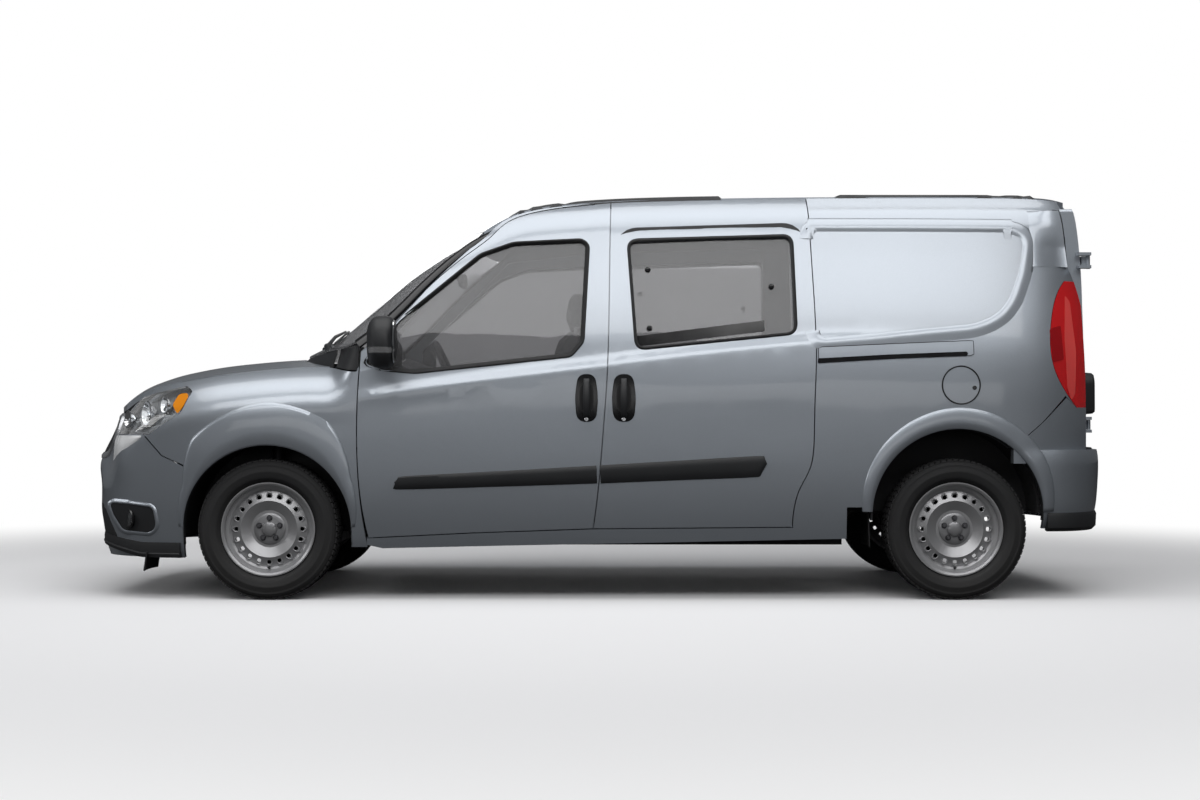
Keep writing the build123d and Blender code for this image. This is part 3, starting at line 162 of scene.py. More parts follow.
def grain_group():
    """Moulded grain: a fine bump and a small change of tone."""
    if "Moulded Grain" in bpy.data.node_groups:
        return bpy.data.node_groups["Moulded Grain"]
    tree, given, made = group_tree(
        "Moulded Grain",
        [("Scale", "NodeSocketFloat", 900.0), ("Depth", "NodeSocketFloat", 0.15)],
        [("Normal", "NodeSocketVector"), ("Tone", "NodeSocketFloat")],
    )
    place = object_place(tree)
    cells = add_node(tree, "ShaderNodeTexVoronoi", Vector=place, Scale=given.outputs["Scale"])
    cloud = add_node(tree, "ShaderNodeTexNoise", Vector=place, Scale=9.0, Detail=4.0)
    bump = add_node(tree, "ShaderNodeBump", Strength=given.outputs["Depth"], Distance=0.0005,
                    Height=cells.outputs["Distance"])
    tree.links.new(bump.outputs["Normal"], made.inputs["Normal"])
    tree.links.new(cloud.outputs["Fac"], made.inputs["Tone"])
    return tree


def dust_group():
    """Road dust: a mask that fades in towards the ground, broken up by a cloud."""
    if "Road Dust" in bpy.data.node_groups:
        return bpy.data.node_groups["Road Dust"]
    tree, given, made = group_tree(
        "Road Dust",
        [("Clean Height", "NodeSocketFloat", 0.6), ("Amount", "NodeSocketFloat", 0.15)],
        [("Mask", "NodeSocketFloat")],
    )
    place = object_place(tree)
    split = add_node(tree, "ShaderNodeSeparateXYZ", Vector=place)
    rise = add_node(tree, "ShaderNodeMapRange", Value=split.outputs["Z"], From_Min=0.0,
                    From_Max=given.outputs["Clean Height"], To_Min=1.0, To_Max=0.0)
    cloud = add_node(tree, "ShaderNodeTexNoise", Vector=place, Scale=5.0, Detail=5.0)
    patchy = combined(tree, "MULTIPLY", rise.outputs["Result"], cloud.outputs["Fac"])
    tree.links.new(combined(tree, "MULTIPLY", patchy, given.outputs["Amount"]), made.inputs["Mask"])
    return tree


def use_group(tree, group, **inputs):
    node = tree.nodes.new("ShaderNodeGroup")
    node.node_tree = group
    for name, value in inputs.items():
        node.inputs[name.replace("_", " ")].default_value = value
    return node


def surface(tree, **inputs):
    """The Principled surface, wired to the output."""
    shader = add_node(tree, "ShaderNodeBsdfPrincipled", **inputs)
    out = tree.nodes.new("ShaderNodeOutputMaterial")
    tree.links.new(shader.outputs["BSDF"], out.inputs["Surface"])
    return shader


def rgba(colour):
    return (colour[0], colour[1], colour[2], 1.0)


def tinted(colour, share):
    return tuple(c * share for c in colour[:3]) + (1.0,)


def named_material(build):
    """Lets a builder fill the nodes of a material the first time its name is asked for."""
    def material(name, *args, **settings):
        if name not in bpy.data.materials:
            build(node_tree(bpy.data.materials.new(name)), *args, **settings)
        return bpy.data.materials[name]
    return material


@named_material
def plastic(tree, colour, rough, scale=900.0, depth=0.2, dusty=0.03):
    """Moulded plastic or rubber with grain, a little tone change and dust low down."""
    grain = use_group(tree, grain_group(), Scale=scale, Depth=depth)
    dust = use_group(tree, dust_group(), Clean_Height=0.5, Amount=dusty)
    tone = blend_colour(tree, grain.outputs["Tone"], tinted(colour, 0.8), tinted(colour, 1.2))
    dusted = blend_colour(tree, dust.outputs["Mask"], tone, (0.32, 0.30, 0.27, 1.0))
    surface(tree, Base_Color=dusted, Roughness=ranged(tree, grain.outputs["Tone"], rough - 0.06, rough + 0.08),
            Normal=grain.outputs["Normal"])


@named_material
def metal(tree, colour, rough, metallic=0.9, depth=0.08):
    """Painted or bare metal with fine flake and cloudy roughness."""
    flake = 0.08
    grain = use_group(tree, grain_group(), Scale=1500.0, Depth=depth)
    tone = blend_colour(tree, grain.outputs["Tone"], tinted(colour, 1 - flake), tinted(colour, 1 + flake))
    surface(tree, Base_Color=tone, Roughness=ranged(tree, grain.outputs["Tone"], rough - 0.07, rough + 0.07),
            Metallic=metallic, Normal=grain.outputs["Normal"])


@named_material
def metallic_paint(tree, colour, flake_scale):
    """Metallic paint: flake under a clear coat, a slow waviness and dust over the sills."""
    place = object_place(tree)
    flake = add_node(tree, "ShaderNodeTexVoronoi", Vector=place, Scale=flake_scale)
    peel = add_node(tree, "ShaderNodeTexNoise", Vector=place, Scale=260.0, Detail=2.0)
    dust = use_group(tree, dust_group(), Clean_Height=0.55, Amount=0.05)
    tone = blend_colour(tree, flake.outputs["Color"], tinted(colour, 0.9), tinted(colour, 1.12))
    dusted = blend_colour(tree, dust.outputs["Mask"], tone, (0.30, 0.29, 0.27, 1.0))
    waves = add_node(tree, "ShaderNodeBump", Strength=0.02, Distance=0.0006, Height=peel.outputs["Fac"])
    shader = surface(tree, Base_Color=dusted, Metallic=0.75, Coat_Weight=0.85, Coat_Roughness=0.06, Coat_IOR=1.5,
                     Roughness=ranged(tree, flake.outputs["Distance"], 0.30, 0.44), Normal=waves.outputs["Normal"])
    tree.links.new(waves.outputs["Normal"], shader.inputs["Coat Normal"])


@named_material
def tinted_glass(tree, colour):
    """Tinted window glass with faint smears."""
    smear = add_node(tree, "ShaderNodeTexNoise", Vector=object_place(tree), Scale=3.0, Detail=6.0)
    surface(tree, Base_Color=rgba(colour), Transmission_Weight=0.86, IOR=1.45,
            Roughness=ranged(tree, smear.outputs["Fac"], 0.0, 0.05))


@named_material
def lens(tree, colour, transmission=1.0, rough=0.03):
    """A clear or coloured lamp lens with fine optic ribs."""
    place = object_place(tree)
    ribs = add_node(tree, "ShaderNodeTexWave", Vector=place, Scale=28.0, Distortion=0.0)
    ribs.bands_direction = "Z"
    bump = add_node(tree, "ShaderNodeBump", Strength=0.06, Distance=0.001, Height=ribs.outputs["Fac"])
    haze = add_node(tree, "ShaderNodeTexNoise", Vector=place, Scale=14.0)
    surface(tree, Base_Color=rgba(colour), Transmission_Weight=transmission, IOR=1.49,
            Roughness=ranged(tree, haze.outputs["Fac"], rough, rough + 0.05), Normal=bump.outputs["Normal"])


@named_material
def woven(tree, colour):
    """Flat-woven seat cloth, with its sheen."""
    place = object_place(tree)
    waves = []
    for axis in ("X", "Y", "Z"):
        wave = add_node(tree, "ShaderNodeTexWave", Vector=place, Scale=180.0, Distortion=0.4)
        wave.bands_direction = axis
        waves.append(wave.outputs["Fac"])
    cross = combined(tree, "MULTIPLY", combined(tree, "MULTIPLY", waves[0], waves[1]), waves[2])
    bump = add_node(tree, "ShaderNodeBump", Strength=0.5, Distance=0.0008, Height=cross)
    tone = blend_colour(tree, cross, tinted(colour, 0.7), tinted(colour, 1.35))
    surface(tree, Base_Color=tone, Roughness=0.9, Sheen_Weight=0.3, Sheen_Roughness=0.5,
            Normal=bump.outputs["Normal"])


def body_paint():
    sizes = bpy.context.scene.van_body
    return metallic_paint("Metallic Paint", sizes.paint_colour, sizes.flake_scale)


def window_glass():
    return tinted_glass("Tinted Glass", bpy.context.scene.van_body.glass_colour)


def black_plastic():
    return plastic("Black Moulded Plastic", (0.017, 0.018, 0.020), rough=0.5)


def gloss_black():
    return plastic("Gloss Black", (0.008, 0.008, 0.009), rough=0.14, depth=0.0, dusty=0.05)


def rubber():
    return plastic("Seal Rubber", (0.010, 0.010, 0.011), rough=0.65, scale=600.0, depth=0.3)


def cabin_plastic():
    return plastic("Cabin Plastic", (0.045, 0.046, 0.050), rough=0.6, scale=1200.0, depth=0.35, dusty=0.0)


def silver_metal():
    return metal("Silver Trim", (0.72, 0.73, 0.75), rough=0.25)


def wheel_paint():
    return metal("Wheel Paint", bpy.context.scene.van_wheel.steel_colour, rough=0.36, metallic=0.6)


def blank_plate():
    return metal("Blank Plate", (0.78, 0.78, 0.76), rough=0.4, metallic=0.1)


def clear_lens():
    return lens("Clear Lamp Lens", (0.96, 0.97, 0.98))


def red_lens():
    return lens("Red Lamp Lens", (0.80, 0.018, 0.022), transmission=0.3)


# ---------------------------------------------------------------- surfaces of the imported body
def ray_tree(nodes):
    """What rays cast at some CAD nodes can hit."""
    verts, faces = [], []
    for name in nodes:
        mesh = NODES[name].data
        base = len(verts)
        verts += [v.co.copy() for v in mesh.vertices]
        faces += [[base + i for i in p.vertices] for p in mesh.polygons]
    return BVHTree.FromPolygons(verts, faces)


class Skin:
    """How far the body's outside stands out along one axis, on a grid over the other two.

    Places less far out than least, or set back by more than cliff from one beside them, are filled in smoothly.
    """
    RAY_START = 6.0
    NOTHING = -1e9

    def __init__(self, nodes, axis, sign, low, high, least, step=0.01, window=2, cliff=0.012):
        self.axis, self.sign, self.step = axis, sign, step
        self.over = [a for a in (0, 1, 2) if a != axis]
        self.low = np.array(low, float)
        self.count = [int(round((high[i] - low[i]) / step)) + 1 for i in (0, 1)]
        self.tree = ray_tree(nodes)
        grid = np.full(self.count, np.nan)
        for i in range(self.count[0]):
            for j in range(self.count[1]):
                depth = self.shoot(low[0] + i * step, low[1] + j * step)
                if depth is not None and depth * sign > least:
                    grid[i, j] = depth * sign
        wide = np.where(np.isnan(grid), self.NOTHING, grid)
        tallest = wide.copy()
        for s in range(1, window + 1):
            tallest[s:] = np.maximum(tallest[s:], wide[:-s])
            tallest[:-s] = np.maximum(tallest[:-s], wide[s:])
        grid[grid < tallest - cliff] = np.nan
        self.grid = self.fill(grid)

    def shoot(self, u, v):
        start, way = Vector((0, 0, 0)), Vector((0, 0, 0))
        start[self.over[0]], start[self.over[1]] = u, v
        start[self.axis] = self.RAY_START * self.sign
        way[self.axis] = -self.sign
        hit = self.tree.ray_cast(start, way)[0]
        return None if hit is None else hit[self.axis]

    @staticmethod
    def fill(grid):
        known = ~np.isnan(grid)
        seen = known.copy()
        value = np.where(known, grid, 0.0)
        while not seen.all():
            total, near = np.zeros_like(value), np.zeros_like(value)
            for shift, edge in ((1, 0), (-1, 0), (1, 1), (-1, 1)):
                moved, there = np.roll(value * seen, shift, edge), np.roll(seen, shift, edge).astype(float)
                cut = [slice(None), slice(None)]
                cut[edge] = 0 if shift == 1 else -1
                moved[tuple(cut)], there[tuple(cut)] = 0.0, 0.0
                total, near = total + moved, near + there
            fresh = (~seen) & (near > 0)
            value[fresh] = total[fresh] / near[fresh]
            seen |= fresh
        for _ in range(200):
            padded = np.pad(value, 1, mode="edge")
            smooth = (padded[2:, 1:-1] + padded[:-2, 1:-1] + padded[1:-1, 2:] + padded[1:-1, :-2]) / 4
            value = np.where(known, value, smooth)
        return value

    def at(self, u, v):
        a = min(max((u - self.low[0]) / self.step, 0), self.count[0] - 1.001)
        b = min(max((v - self.low[1]) / self.step, 0), self.count[1] - 1.001)
        i, j = int(a), int(b)
        a, b = a - i, b - j
        g = self.grid
        return (g[i, j] * (1 - a) * (1 - b) + g[i + 1, j] * a * (1 - b) + g[i, j + 1] * (1 - a) * b
                + g[i + 1, j + 1] * a * b)

    def point(self, u, v, out=0.0):
        """The point over (u, v), that far outside the body."""
        place = [0.0, 0.0, 0.0]
        place[self.over[0]], place[self.over[1]] = u, v
        place[self.axis] = self.sign * (self.at(u, v) + out)
        return Vector(place)


def once(build):
    """Keeps what a function makes, and hands it out after that."""
    kept = []

    def kept_or_made():
        if not kept:
            kept.append(build())
        return kept[0]
    return kept_or_made


@once
def side_skin():
    """The left side's outside, over (x, z)."""
    return Skin(["fender_left", "front_door_left", "sliding_door_left", "body_side_left", "rear_bumper",
                 "front_bumper", "headlights", "tail_lights", "fuel_flap"],
                1, LEFT, (VAN_LOW.x, 0.15), (VAN_HIGH.x, VAN_HIGH.z), 0.42)


@once
def glass_skin():
    """The left side windows' outside, over (x, z)."""
    return Skin(["front_door_glass_left", "sliding_door_glass"], 1, LEFT, (front(380), 0.95), (rear(-600), 1.75),
                0.42)


@once
def top_skin():
    """The roof, windshield and hood from above, over (x, y)."""
    return Skin(["roof_panel", "windshield", "hood", "body_side_left", "body_side_right", "cowl_panel"],
                2, 1, (VAN_LOW.x, -0.8), (VAN_HIGH.x, 0.8), 0.7, step=0.014, window=1, cliff=0.05)


@once
def front_skin():
    """The nose from the front, over (y, z)."""
    return Skin(["front_bumper", "front_grille", "hood", "headlights"], 0, -1, (-0.8, 0.2), (0.8, 0.98), 1.7,
                step=0.012, window=1, cliff=0.05)


@once
def rear_skin():
    """The tail from behind, over (y, z)."""
    return Skin(["rear_door_left", "rear_door_right", "rear_bumper", "body_side_left", "body_side_right",
                 "roof_panel"],
                0, 1, (-0.75, 0.3), (0.75, VAN_HIGH.z), 1.95, step=0.012, window=1, cliff=0.05)


# ---------------------------------------------------------------- mesh building
def new_piece(name, verts, faces, material, body, slot, sharp):
    mesh = bpy.data.meshes.new(name)
    mesh.from_pydata([tuple(v) for v in verts], [], faces)
    mesh.validate()
    bm = bmesh.new()
    bm.from_mesh(mesh)
    bmesh.ops.remove_doubles(bm, verts=bm.verts, dist=1e-6)
    bmesh.ops.recalc_face_normals(bm, faces=bm.faces)
    bm.to_mesh(mesh)
    bm.free()
    mesh.shade_smooth()
    mesh.set_sharp_from_angle(angle=math.radians(sharp))
    piece = bpy.data.objects.new(name, mesh)
    bpy.context.scene.collection.objects.link(piece)
    mesh.materials.append(material)
    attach(piece, body)
    return piece


def soften(piece, width):
    bevel = piece.modifiers.new("Edge Radius", "BEVEL")
    bevel.width = width
    bevel.segments = 2
    bevel.limit_method = "ANGLE"
    bevel.angle_limit = math.radians(40)


def merged(shells):
    """Several (verts, faces) shells as one."""
    verts, faces = [], []
    for some_verts, some_faces in shells:
        base = len(verts)
        verts += [Vector(v) for v in some_verts]
        faces += [[base + i for i in f] for f in some_faces]
    return verts, faces


def joined(name, shells, material, body=ROOT, slot=None, sharp=35.0):
    """One piece from several shells."""
    return new_piece(name, *merged(shells), material, body, slot, sharp)


def moved(shell, way):
    return [Vector(v) + Vector(way) for v in shell[0]], shell[1]


def flipped(shell):
    """The same shell on the van's other side."""
    verts, faces = shell
    return [Vector((v[0], -v[1], v[2])) for v in verts], [list(reversed(f)) for f in faces]


def on_side(side, shells):
    """The left-side shells, or their mirror images on the right."""
    return shells if side == LEFT else [flipped(s) for s in shells]


def round_turn(count):
    """Angles evenly spaced round a full turn."""
    return [2 * math.pi * k / count for k in range(count)]


def bulge(value, power):
    """A sine or cosine pushed towards 1 or -1, which squares off an ellipse."""
    return math.copysign(abs(value) ** power, value)


def smooth_path(points, step):
    """Catmull-Rom points through the given ones, evenly spaced."""
    pts = [np.array(p, float) for p in points]
    pts = [2 * pts[0] - pts[1], *pts, 2 * pts[-1] - pts[-2]]
    dense = []
    for p0, p1, p2, p3 in zip(pts, pts[1:], pts[2:], pts[3:]):
        for t in np.linspace(0, 1, 16, endpoint=False):
            dense.append(0.5 * (2 * p1 + (p2 - p0) * t + (2 * p0 - 5 * p1 + 4 * p2 - p3) * t * t
                                + (3 * p1 - p0 - 3 * p2 + p3) * t ** 3))
    dense.append(pts[-2])
    return even(dense, False, step)


def even(dense, closed, step):
    """The same path with points a step apart."""
    dense = np.array(dense, float)
    gaps = np.linalg.norm(np.diff(dense, axis=0), axis=1)
    along = np.concatenate([[0], np.cumsum(gaps)])
    count = max(4, int(round(along[-1] / step)))
    places = np.linspace(0, along[-1], count + 1)
    if closed:
        places = places[:-1]
    return np.stack([np.interp(places, along, dense[:, k]) for k in range(dense.shape[1])], axis=1)


def loop_path(outline, step):
    """Points a step apart round a closed outline."""
    return even(outline + [outline[0]], True, step)


def rounded(points, radius, segments=6):
    """The corners of a closed outline, each rounded to a radius."""
    out = []
    n = len(points)
    for i in range(n):
        a, b, c = (np.array(points[(i + k) % n], float) for k in (-1, 0, 1))
        to_a, to_c = (a - b) / np.linalg.norm(a - b), (c - b) / np.linalg.norm(c - b)
        reach = min(radius, np.linalg.norm(a - b) * 0.48, np.linalg.norm(c - b) * 0.48)
        for t in np.linspace(0, 1, segments + 1):
            out.append(tuple(b + to_a * reach * (1 - t) ** 2 + to_c * reach * t ** 2))
    return out


def rings_shell(rings, wrap=False, closed_rings=True):
    """A shell through rings of equal counts, wrapped round to the first ring or capped at both ends."""
    verts = [Vector(p) for ring in rings for p in ring]
    size, faces = len(rings[0]), []
    for r in range(len(rings) if wrap else len(rings) - 1):
        a, b = r * size, ((r + 1) % len(rings)) * size
        for k in range(size if closed_rings else size - 1):
            m = (k + 1) % size
            faces.append([a + k, a + m, b + m, b + k])
    if not wrap:
        faces.append(list(range(size)))
        faces.append([(len(rings) - 1) * size + k for k in reversed(range(size))])
    return verts, faces


def strip_shell(path, profile, skin, closed=False):
    """A moulding along a path on the skin. The profile is a closed loop of (across, out)."""
    path = np.array(path, float)
    n = len(path)
    rings = []
    for i in range(n):
        ahead = path[(i + 1) % n] if closed or i + 1 < n else path[i]
        behind = path[i - 1] if closed or i else path[i]
        way = ahead - behind
        way = way / (np.linalg.norm(way) or 1)
        across = np.array([-way[1], way[0]])
        rings.append([skin.point(*(path[i] + across * a), out) for a, out in profile])
    return rings_shell(rings, wrap=closed)


def plate_shell(outline, skin, out, thick, cell=0.03):
    """A plate inside an outline that lies on the skin, cut into cells so that it bends with it."""
    bm = bmesh.new()
    verts = [bm.verts.new((u, v, 0)) for u, v in outline]
    bm.faces.new(verts)
    spread = np.array(outline)
    for axis in (0, 1):
        low, high = spread[:, axis].min(), spread[:, axis].max()
        for k in range(1, int((high - low) / cell) + 1):
            place, normal = Vector((0, 0, 0)), Vector((0, 0, 0))
            place[axis], normal[axis] = low + k * cell, 1
            bmesh.ops.bisect_plane(bm, geom=bm.verts[:] + bm.edges[:] + bm.faces[:], plane_co=place,
                                   plane_no=normal)
    bmesh.ops.triangulate(bm, faces=[f for f in bm.faces if len(f.verts) > 4])
    bm.verts.ensure_lookup_table()
    flat = [(v.co.x, v.co.y) for v in bm.verts]
    faces = [[v.index for v in f.verts] for f in bm.faces]
    rim = [[e.verts[0].index, e.verts[1].index] for e in bm.edges if len(e.link_faces) == 1]
    bm.free()
    size = len(flat)
    upper = [skin.point(u, v, out) for u, v in flat]
    lower = [skin.point(u, v, out - thick) for u, v in flat]
    walls = [[a, b, b + size, a + size] for a, b in rim]
    return upper + lower, faces + [[i + size for i in reversed(f)] for f in faces] + walls


def box_shell(low, high):
    x0, y0, z0 = low
    x1, y1, z1 = high
    verts = [(x, y, z) for x in (x0, x1) for y in (y0, y1) for z in (z0, z1)]
    return verts, [[0, 1, 3, 2], [4, 6, 7, 5], [0, 4, 5, 1], [2, 3, 7, 6], [0, 2, 6, 4], [1, 5, 7, 3]]


def turned_shell(profile, centre, axis, steps, closed=True):
    """A profile of (along the axis, radius) turned round an axis."""
    axis = Vector(axis).normalized()
    helper = Vector((0, 0, 1)) if abs(axis.z) < 0.9 else Vector((1, 0, 0))
    first = axis.cross(helper).normalized()
    second = axis.cross(first)
    centre = Vector(centre)
    rings = []
    for angle in round_turn(steps):
        spoke = first * math.cos(angle) + second * math.sin(angle)
        rings.append([centre + axis * a + spoke * r for a, r in profile])
    return rings_shell(rings, wrap=True, closed_rings=closed)


def tube_shell(points, radius, sides):
    """A round bar that follows points, closed at its ends. The radius is one length or a list."""
    pts = [Vector(p) for p in points]
    rings = []
    up = None
    for i, p in enumerate(pts):
        way = (pts[min(i + 1, len(pts) - 1)] - pts[max(i - 1, 0)]).normalized()
        if up is None:
            up = way.orthogonal().normalized()
        up = (up - way * up.dot(way)).normalized()
        side = way.cross(up)
        r = radius[i] if isinstance(radius, list) else radius
        rings.append([p + (up * math.cos(a) + side * math.sin(a)) * r for a in round_turn(sides)])
    return rings_shell(rings)


def both_sides(name, shells, material, bodies=None, slot=None, sharp=35.0):
    """The left-side shells as one piece and their mirror image as another."""
    for side_name, side in SIDES.items():
        body = ROOT if bodies is None else bodies.format(side_name)
        joined(f"{name}_{side_name}", on_side(side, shells), material, body, slot, sharp)


# ---------------------------------------------------------------- repeats
def ring_tree():
    """Geometry Nodes: one piece repeated round the Y axis."""
    name = "Ring Of Pieces"
    if name in bpy.data.node_groups:
        return bpy.data.node_groups[name]
    tree = bpy.data.node_groups.new(name, "GeometryNodeTree")
    face = tree.interface
    face.new_socket(name="Piece", in_out="INPUT", socket_type="NodeSocketObject")
    face.new_socket(name="Count", in_out="INPUT", socket_type="NodeSocketInt").default_value = 20
    face.new_socket(name="Radius", in_out="INPUT", socket_type="NodeSocketFloat").default_value = 0.15
    face.new_socket(name="Finish", in_out="INPUT", socket_type="NodeSocketMaterial")
    face.new_socket(name="Geometry", in_out="OUTPUT", socket_type="NodeSocketGeometry")
    given, made = tree.nodes.new("NodeGroupInput"), tree.nodes.new("NodeGroupOutput")
    info = add_node(tree, "GeometryNodeObjectInfo", Object=given.outputs["Piece"])
    line = add_node(tree, "GeometryNodeMeshLine", Offset=(0, 0, 0), Count=given.outputs["Count"])
    index = tree.nodes.new("GeometryNodeInputIndex")
    share = combined(tree, "DIVIDE", index.outputs[0], given.outputs["Count"])
    spin = add_node(tree, "ShaderNodeCombineXYZ", Y=combined(tree, "MULTIPLY", share, 2 * math.pi))
    rise = add_node(tree, "ShaderNodeCombineXYZ", Z=given.outputs["Radius"])
    place = add_node(tree, "GeometryNodeInstanceOnPoints", Points=line.outputs["Mesh"],
                     Instance=info.outputs["Geometry"])
    rotate = add_node(tree, "GeometryNodeRotateInstances", Instances=place.outputs["Instances"],
                      Rotation=spin.outputs[0], Local_Space=True)
    move = add_node(tree, "GeometryNodeTranslateInstances", Instances=rotate.outputs["Instances"],
                    Translation=rise.outputs[0], Local_Space=True)
    real = add_node(tree, "GeometryNodeRealizeInstances", Geometry=move.outputs["Instances"])
    finish = add_node(tree, "GeometryNodeSetMaterial", Geometry=real.outputs["Geometry"],
                      Material=given.outputs["Finish"])
    tree.links.new(finish.outputs["Geometry"], made.inputs["Geometry"])
    return tree


def repeat(name, shells, material, place, body, slot, mirror, sharp, **inputs):
    """Repeats one small piece with the Geometry Nodes ring, and puts the plain mesh in its place."""
    seed = bpy.data.meshes.new(name + "_one")
    verts, faces = merged(shells)
    seed.from_pydata(verts, [], faces)
    one = bpy.data.objects.new(name + "_one", seed)
    bpy.context.scene.collection.objects.link(one)
    carrier = bpy.data.objects.new(name + "_carrier", bpy.data.meshes.new(name + "_carrier"))
    bpy.context.scene.collection.objects.link(carrier)
    modifier = carrier.modifiers.new("Repeat", "NODES")
    modifier.node_group = ring_tree()
    ids = {item.name: item.identifier for item in modifier.node_group.interface.items_tree if item.in_out == "INPUT"}
    modifier[ids["Piece"]] = one
    modifier[ids["Finish"]] = material
    for key, value in inputs.items():
        modifier[ids[key]] = value
    bpy.context.view_layer.update()
    ready = carrier.evaluated_get(bpy.context.evaluated_depsgraph_get())
    mesh = bpy.data.meshes.new_from_object(ready)
    made_verts = [Vector((v.co.x, -v.co.y if mirror else v.co.y, v.co.z)) + place for v in mesh.vertices]
    made_faces = [list(p.vertices) for p in mesh.polygons]
    for thing in (carrier, one):
        bpy.data.objects.remove(thing)
    bpy.data.meshes.remove(mesh)
    return new_piece(name, made_verts, made_faces, material, body, slot, sharp)


# ---------------------------------------------------------------- what a user may change
class VAN_PG_body(bpy.types.PropertyGroup):
    """Paint, glass and pressed shapes of the body."""
    paint_colour: FloatVectorProperty(name="Paint", description="Colour of the metallic paint", subtype="COLOR",
                                      size=3, default=(0.40, 0.435, 0.48), min=0, max=1)
    flake_scale: FloatProperty(name="Flake scale", description="Paint flakes per metre", default=1400.0, min=100)
    glass_colour: FloatVectorProperty(name="Glass tint", description="Colour of the window glass", subtype="COLOR",
                                      size=3, default=(0.42, 0.42, 0.43), min=0, max=1)
    panel_depth: FloatProperty(name="Pressed panel depth", description="How far the pressed panel's border stands out",
                               subtype="DISTANCE", default=0.005, min=0)
    moulding_depth: FloatProperty(name="Side moulding depth", description="How far the side mouldings stand out",
                                  subtype="DISTANCE", default=0.012, min=0)


class VAN_PG_wheel(bpy.types.PropertyGroup):
    """Sizes of the steel wheels and tyres."""
    hole_count: IntProperty(name="Rim holes", description="Oval holes round the rim", default=20, min=4)
    bolt_count: IntProperty(name="Wheel bolts", description="Bolts that hold each wheel", default=5, min=3)
    bolt_radius: FloatProperty(name="Bolt circle", description="Radius of the circle of bolts", subtype="DISTANCE",
                               default=0.049, min=0.02)
    tread_count: IntProperty(name="Tread blocks", description="Tread blocks in each row round a tyre", default=72,
                             min=12)
    steel_colour: FloatVectorProperty(name="Wheel paint", description="Colour of the steel wheels", subtype="COLOR",
                                      size=3, default=(0.42, 0.42, 0.43), min=0, max=1)


class VAN_PG_stage(bpy.types.PropertyGroup):
    """Floor, lamps and camera."""
    floor_colour: FloatVectorProperty(name="Floor", description="Colour of the floor", subtype="COLOR", size=3,
                                      default=(0.86, 0.86, 0.87), min=0, max=1)
    camera_distance: FloatProperty(name="Camera distance", description="Distance from the van's middle",
                                   subtype="DISTANCE", default=9.17, min=3)
    camera_height: FloatProperty(name="Camera height", description="Height of the camera", subtype="DISTANCE",
                                 default=0.803, min=0)
    lens: FloatProperty(name="Lens", description="Focal length in mm on a 36 mm sensor", default=55.3, min=10)


def straight_sight(tree):
    """1 for rays from the camera or through glass, and 0 for the others."""
    seen = tree.nodes.new("ShaderNodeLightPath")
    return combined(tree, "MAXIMUM", seen.outputs["Is Camera Ray"], seen.outputs["Is Transmission Ray"])


def mixed_output(tree, kind, share, first, second):
    """Two shaders mixed by a share, wired to the output."""
    mix = tree.nodes.new("ShaderNodeMixShader")
    for socket, value in zip(mix.inputs, (share, first.outputs[0], second.outputs[0])):
        tree.links.new(value, socket)
    out = tree.nodes.new(kind)
    tree.links.new(mix.outputs[0], out.inputs["Surface"])


